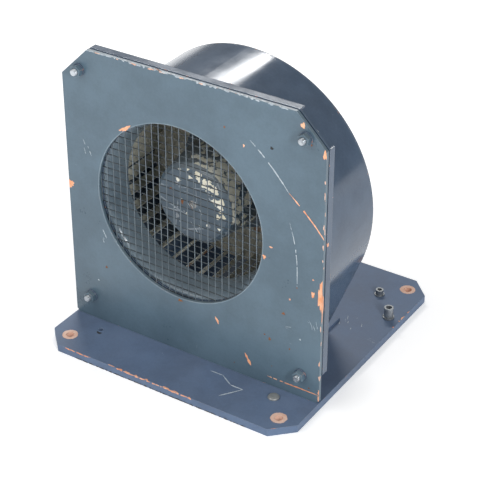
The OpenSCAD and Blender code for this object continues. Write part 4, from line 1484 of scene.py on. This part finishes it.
@dataclass
class Studio:
    """Floor, surrounding light, lamps and camera."""

    azimuth: float = 33.0
    elevation: float = 32.0
    distance: float = 2.0
    aim: Point = (-0.044, 0.062, 0.068)
    lens: float = 118.0
    sensor: float = 36.0
    floor_half: float = 6.0
    surround: float = 0.27
    floor_near: float = 0.7
    floor_far: float = 2.2
    floor_glow: float = 0.36
    boxes: tuple[SoftBox, ...] = (
        SoftBox("key_light", (-1.3, -2.2, 2.6), (0.0, 0.0, 0.2), 3.0, 2.4, 55.0),
        SoftBox("strip_light", (-0.8, 1.05, 1.3), (-0.02, -0.03, 0.3), 0.11, 0.9, 12.0, 90.0),
        SoftBox("cone_light", (1.55, -1.0, 1.0), (-0.1, -0.1, 0.14), 0.25, 0.5, 17.0),
    )

    def build(self) -> None:
        """Builds the studio."""
        self._camera()
        self._surround()
        self._floor()
        for box in self.boxes:
            box.build()
        bpy.context.scene.view_settings.view_transform = "Standard"
        LOG.info("built the studio")

    def _camera(self) -> None:
        """Adds the camera, to the right of the inlet's own direction and above it."""
        lens = bpy.data.cameras.new("camera")
        lens.lens = self.lens
        lens.sensor_width = self.sensor
        lens.clip_end = 50.0
        holder = bpy.data.objects.new("camera", lens)
        bpy.context.scene.collection.objects.link(holder)
        turn, rise = math.radians(self.azimuth), math.radians(self.elevation)
        back = Vector((math.sin(turn) * math.cos(rise), -math.cos(turn) * math.cos(rise), math.sin(rise)))
        place = Vector(self.aim) + back * self.distance
        holder.matrix_world = Matrix.Translation(place) @ back.to_track_quat("Z", "Y").to_matrix().to_4x4()
        bpy.context.scene.camera = holder

    def _surround(self) -> None:
        """Sets the light that comes from all round, and the plain white that is seen behind it."""
        world = bpy.data.worlds.new("white_tent")
        world.use_nodes = True
        graph = Graph(world.node_tree)
        seen = graph.node("ShaderNodeLightPath").outputs["Is Camera Ray"]
        back = world.node_tree.nodes["Background"]
        back.inputs["Color"].default_value = (1.0, 1.0, 1.0, 1.0)
        graph.feed(back.inputs["Strength"], graph.band(seen, 0.0, 1.0, self.surround, 1.0))
        bpy.context.scene.world = world

    def _floor(self) -> None:
        """Adds the pale floor."""
        half = self.floor_half
        corners = [(-half, -half, 0.0), (half, -half, 0.0), (half, half, 0.0), (-half, half, 0.0)]
        floor = add_mesh("studio_floor", corners, [(0, 1, 2, 3)])
        made, graph, skin = new_material("pale_floor")
        place = graph.node("ShaderNodeTexCoord").outputs["Object"]
        tone = graph.mix(graph.noise(place, 3.0), (0.90, 0.90, 0.90), (0.93, 0.93, 0.93))
        graph.feed(skin.inputs["Base Color"], tone)
        skin.inputs["Roughness"].default_value = 0.9
        skin.inputs["Specular IOR Level"].default_value = 0.1
        skin.inputs["Emission Color"].default_value = (1.0, 1.0, 1.0, 1.0)
        away = graph.vector("LENGTH", place).outputs["Value"]
        glow = graph.band(away, self.floor_near, self.floor_far, self.floor_glow, 1.0)
        graph.feed(skin.inputs["Emission Strength"], glow)
        floor.data.materials.append(made)


# ---------- the whole ----------


def dress_painted(dresser: Dresser) -> bpy.types.Material:
    """Paints the plates, the housing, the cone and the cup, and returns the cover's material."""
    cover = Paint(
        "cover_paint", srgb(94, 116, 131), srgb(80, 100, 114), roughness=0.32, chip_cover=0.006
    )
    housing = Paint(
        "housing_paint",
        srgb(76, 94, 116),
        srgb(62, 78, 98),
        roughness=0.16,
        dust_amount=0.04,
        seed=(3.0, 1.0, 2.0),
    )
    base = Paint(
        "base_paint",
        srgb(101, 121, 150),
        srgb(87, 104, 130),
        roughness=0.48,
        specular=0.3,
        seed=(5.0, 2.0, 1.0),
        dust_amount=0.05,
    )
    cone = Paint(
        "cone_paint",
        srgb(128, 145, 157),
        srgb(106, 122, 134),
        roughness=0.16,
        dust_amount=0.1,
        chip_cover=0.004,
    )
    cup = Paint("cup_paint", srgb(92, 110, 124), srgb(68, 84, 98), dust_amount=0.3, hair_cover=0.7)
    paint = dresser.dress(cover, ["front_cover"])
    housing_nodes = ["housing_front", "scroll_wall", "scroll_back", "motor_tube", "cover_washers"]
    dresser.dress(housing, housing_nodes)
    dresser.dress(cone, ["inlet_cone"])
    dresser.dress(base, ["base_plate", "outlet_frame"])
    dresser.dress(cup, ["wheel_cup"])
    return paint


def dress_wires(dresser: Dresser) -> tuple[bpy.types.Material, bpy.types.Material]:
    """Finishes the guard mesh and returns the materials of its upright and its level wires."""
    bright = Metal(
        "mesh_wire", srgb(122, 134, 142), srgb(84, 95, 103), 0.42, metallic=0.35, dust_amount=0.12
    )
    # The level wires get a darker copy of the upright wires' finish: painted shade, for their shaded
    # undersides.
    shaded_level_finish = Metal(
        "level_wire_painted_shade", srgb(72, 82, 88), srgb(38, 45, 50), 0.5, metallic=0.3, dust_amount=0.08
    )
    return dresser.dress(bright, ["mesh_uprights"]), dresser.dress(shaded_level_finish, ["mesh_levels"])


def dress_metals(dresser: Dresser) -> None:
    """Finishes the wheel and the screws."""
    # Near-white dust on nearly every face of the wheel, even those that face down: dust, and a painted
    # highlight that brightens the dim wheel.
    dusty = Metal(
        "dusty_steel",
        srgb(204, 202, 190),
        srgb(138, 134, 120),
        0.5,
        metallic=0.5,
        rust_cover=0.12,
        dust_amount=1.0,
        dust_colour=srgb(226, 226, 212),
        dust_low=-0.7,
    )
    old_screw = Metal(
        "old_screw", srgb(176, 180, 182), srgb(116, 118, 118), 0.46, metallic=0.6, dust_amount=0.25
    )
    dresser.dress(dusty, ["wheel_blades", "wheel_ring", "wheel_back"])
    dresser.dress(
        Metal("zinc_plate", srgb(172, 178, 184), srgb(124, 130, 136), 0.42, metallic=0.6),
        [
            "cover_spacers",
            "socket_screws",
            "socket_washers",
            "earth_screw",
            "earth_washer",
            "wheel_rivets",
            "cup_screws",
            "boss_grub_screw",
            "flange_screws",
            "flange_nuts",
            "tie_bolts",
            "tie_nuts",
            "lid_screws",
            "brush_springs",
        ],
    )
    dresser.dress(old_screw, ["button_screw"])


def dress_motor(dresser: Dresser) -> None:
    """Finishes the motor's pieces and the terminal box."""
    steel = ["motor_shaft", "drive_key", "bearing_inner_rings", "bearing_balls", "bearing_outer_rings"]
    box = ["terminal_box", "terminal_lid", "cable_gland", "gland_nut"]
    for finish, names in (
        (Metal("raw_steel", srgb(178, 178, 176), srgb(132, 132, 130), 0.28), steel),
        (
            Metal("cast_alloy", srgb(178, 180, 182), srgb(140, 142, 144), 0.52, grain_scale=400.0),
            ["wheel_boss", "motor_flange", "front_shield", "rear_shield"],
        ),
        (
            Metal("laminations", srgb(84, 84, 86), srgb(52, 52, 54), 0.5),
            ["armature_core", "field_magnets"],
        ),
        (
            Metal("copper", srgb(196, 128, 84), srgb(150, 90, 56), 0.35),
            ["armature_coils", "commutator"],
        ),
        (Metal("brass", srgb(206, 176, 104), srgb(166, 136, 70), 0.35), ["brush_holders"]),
        (Plastic("carbon", srgb(58, 58, 60), srgb(36, 36, 38), 0.6), ["carbon_brushes"]),
        (Plastic("phenolic", srgb(120, 84, 56), srgb(90, 60, 38), 0.45), ["brush_ring"]),
        (Plastic("black_plastic", srgb(46, 46, 48), srgb(30, 30, 32), 0.45), box),
    ):
        dresser.dress(finish, names)


def bare_layers(effects: Effects) -> dict[Layer, bpy.types.Material]:
    """Builds the material of each layer that a mark can show."""
    layers = (
        Bare(Layer.PRIMER, PRIMER_PALE, PRIMER, 0.6),
        Bare(Layer.SCRATCH, PALE_SCRATCH_AND_SHEEN, srgb(168, 180, 190), 0.45),
        Bare(Layer.RUST, srgb(150, 98, 60), RUST, 0.8),
        Bare(Layer.GRIME, srgb(62, 64, 66), DARK_GRIME, 0.75),
        # Near-white: dust, brightened beyond real dust as a painted highlight inside the dim wheel.
        Bare(Layer.DUST, srgb(252, 250, 238), srgb(222, 216, 192), 0.9),
        Bare(Layer.WORN, srgb(236, 202, 184), srgb(218, 172, 148), 0.6),
    )
    return {bare.layer: bare.make(effects) for bare in layers}


def main() -> None:
    """Builds the scene."""
    logging.basicConfig(level=logging.INFO, format="%(message)s")
    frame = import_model()
    nodes = frame["nodes"]
    fixings = next(m["dims"] for m in frame["record"]["mounts"] if m["name"] == "fixing_holes")
    places = Places.read()
    effects = Effects()
    dresser = Dresser(nodes, effects)
    paint = dress_painted(dresser)
    wire, level_wire_painted_shade = dress_wires(dresser)
    dress_metals(dresser)
    dress_motor(dresser)
    tip = Metal("worn_tip", srgb(204, 210, 216), srgb(140, 148, 156), 0.3, metallic=0.6).make(effects)
    GuardMesh().build(places, wire, level_wire_painted_shade)
    CoverFasteners().build(places, paint, tip)
    bared = bare_layers(effects)
    Wear(bared, nodes, fixings).build(places)
    # A lighter copy of the cover's paint: a painted highlight on the opening's rounded edge.
    worn_edge_and_highlight = Paint(
        "worn_edge_and_highlight", srgb(132, 150, 162), srgb(112, 130, 142), roughness=0.14, chip_cover=0.0
    ).make(effects)
    face = Surface.of(nodes["front_cover"], RIGHT, UP, places.axis, opening=True)
    OpeningEdge().build(places, face, worn_edge_and_highlight)
    FlankDustAndSheen().build(places, bared[Layer.DUST])
    Studio().build()


if __name__ == "__main__":
    main()
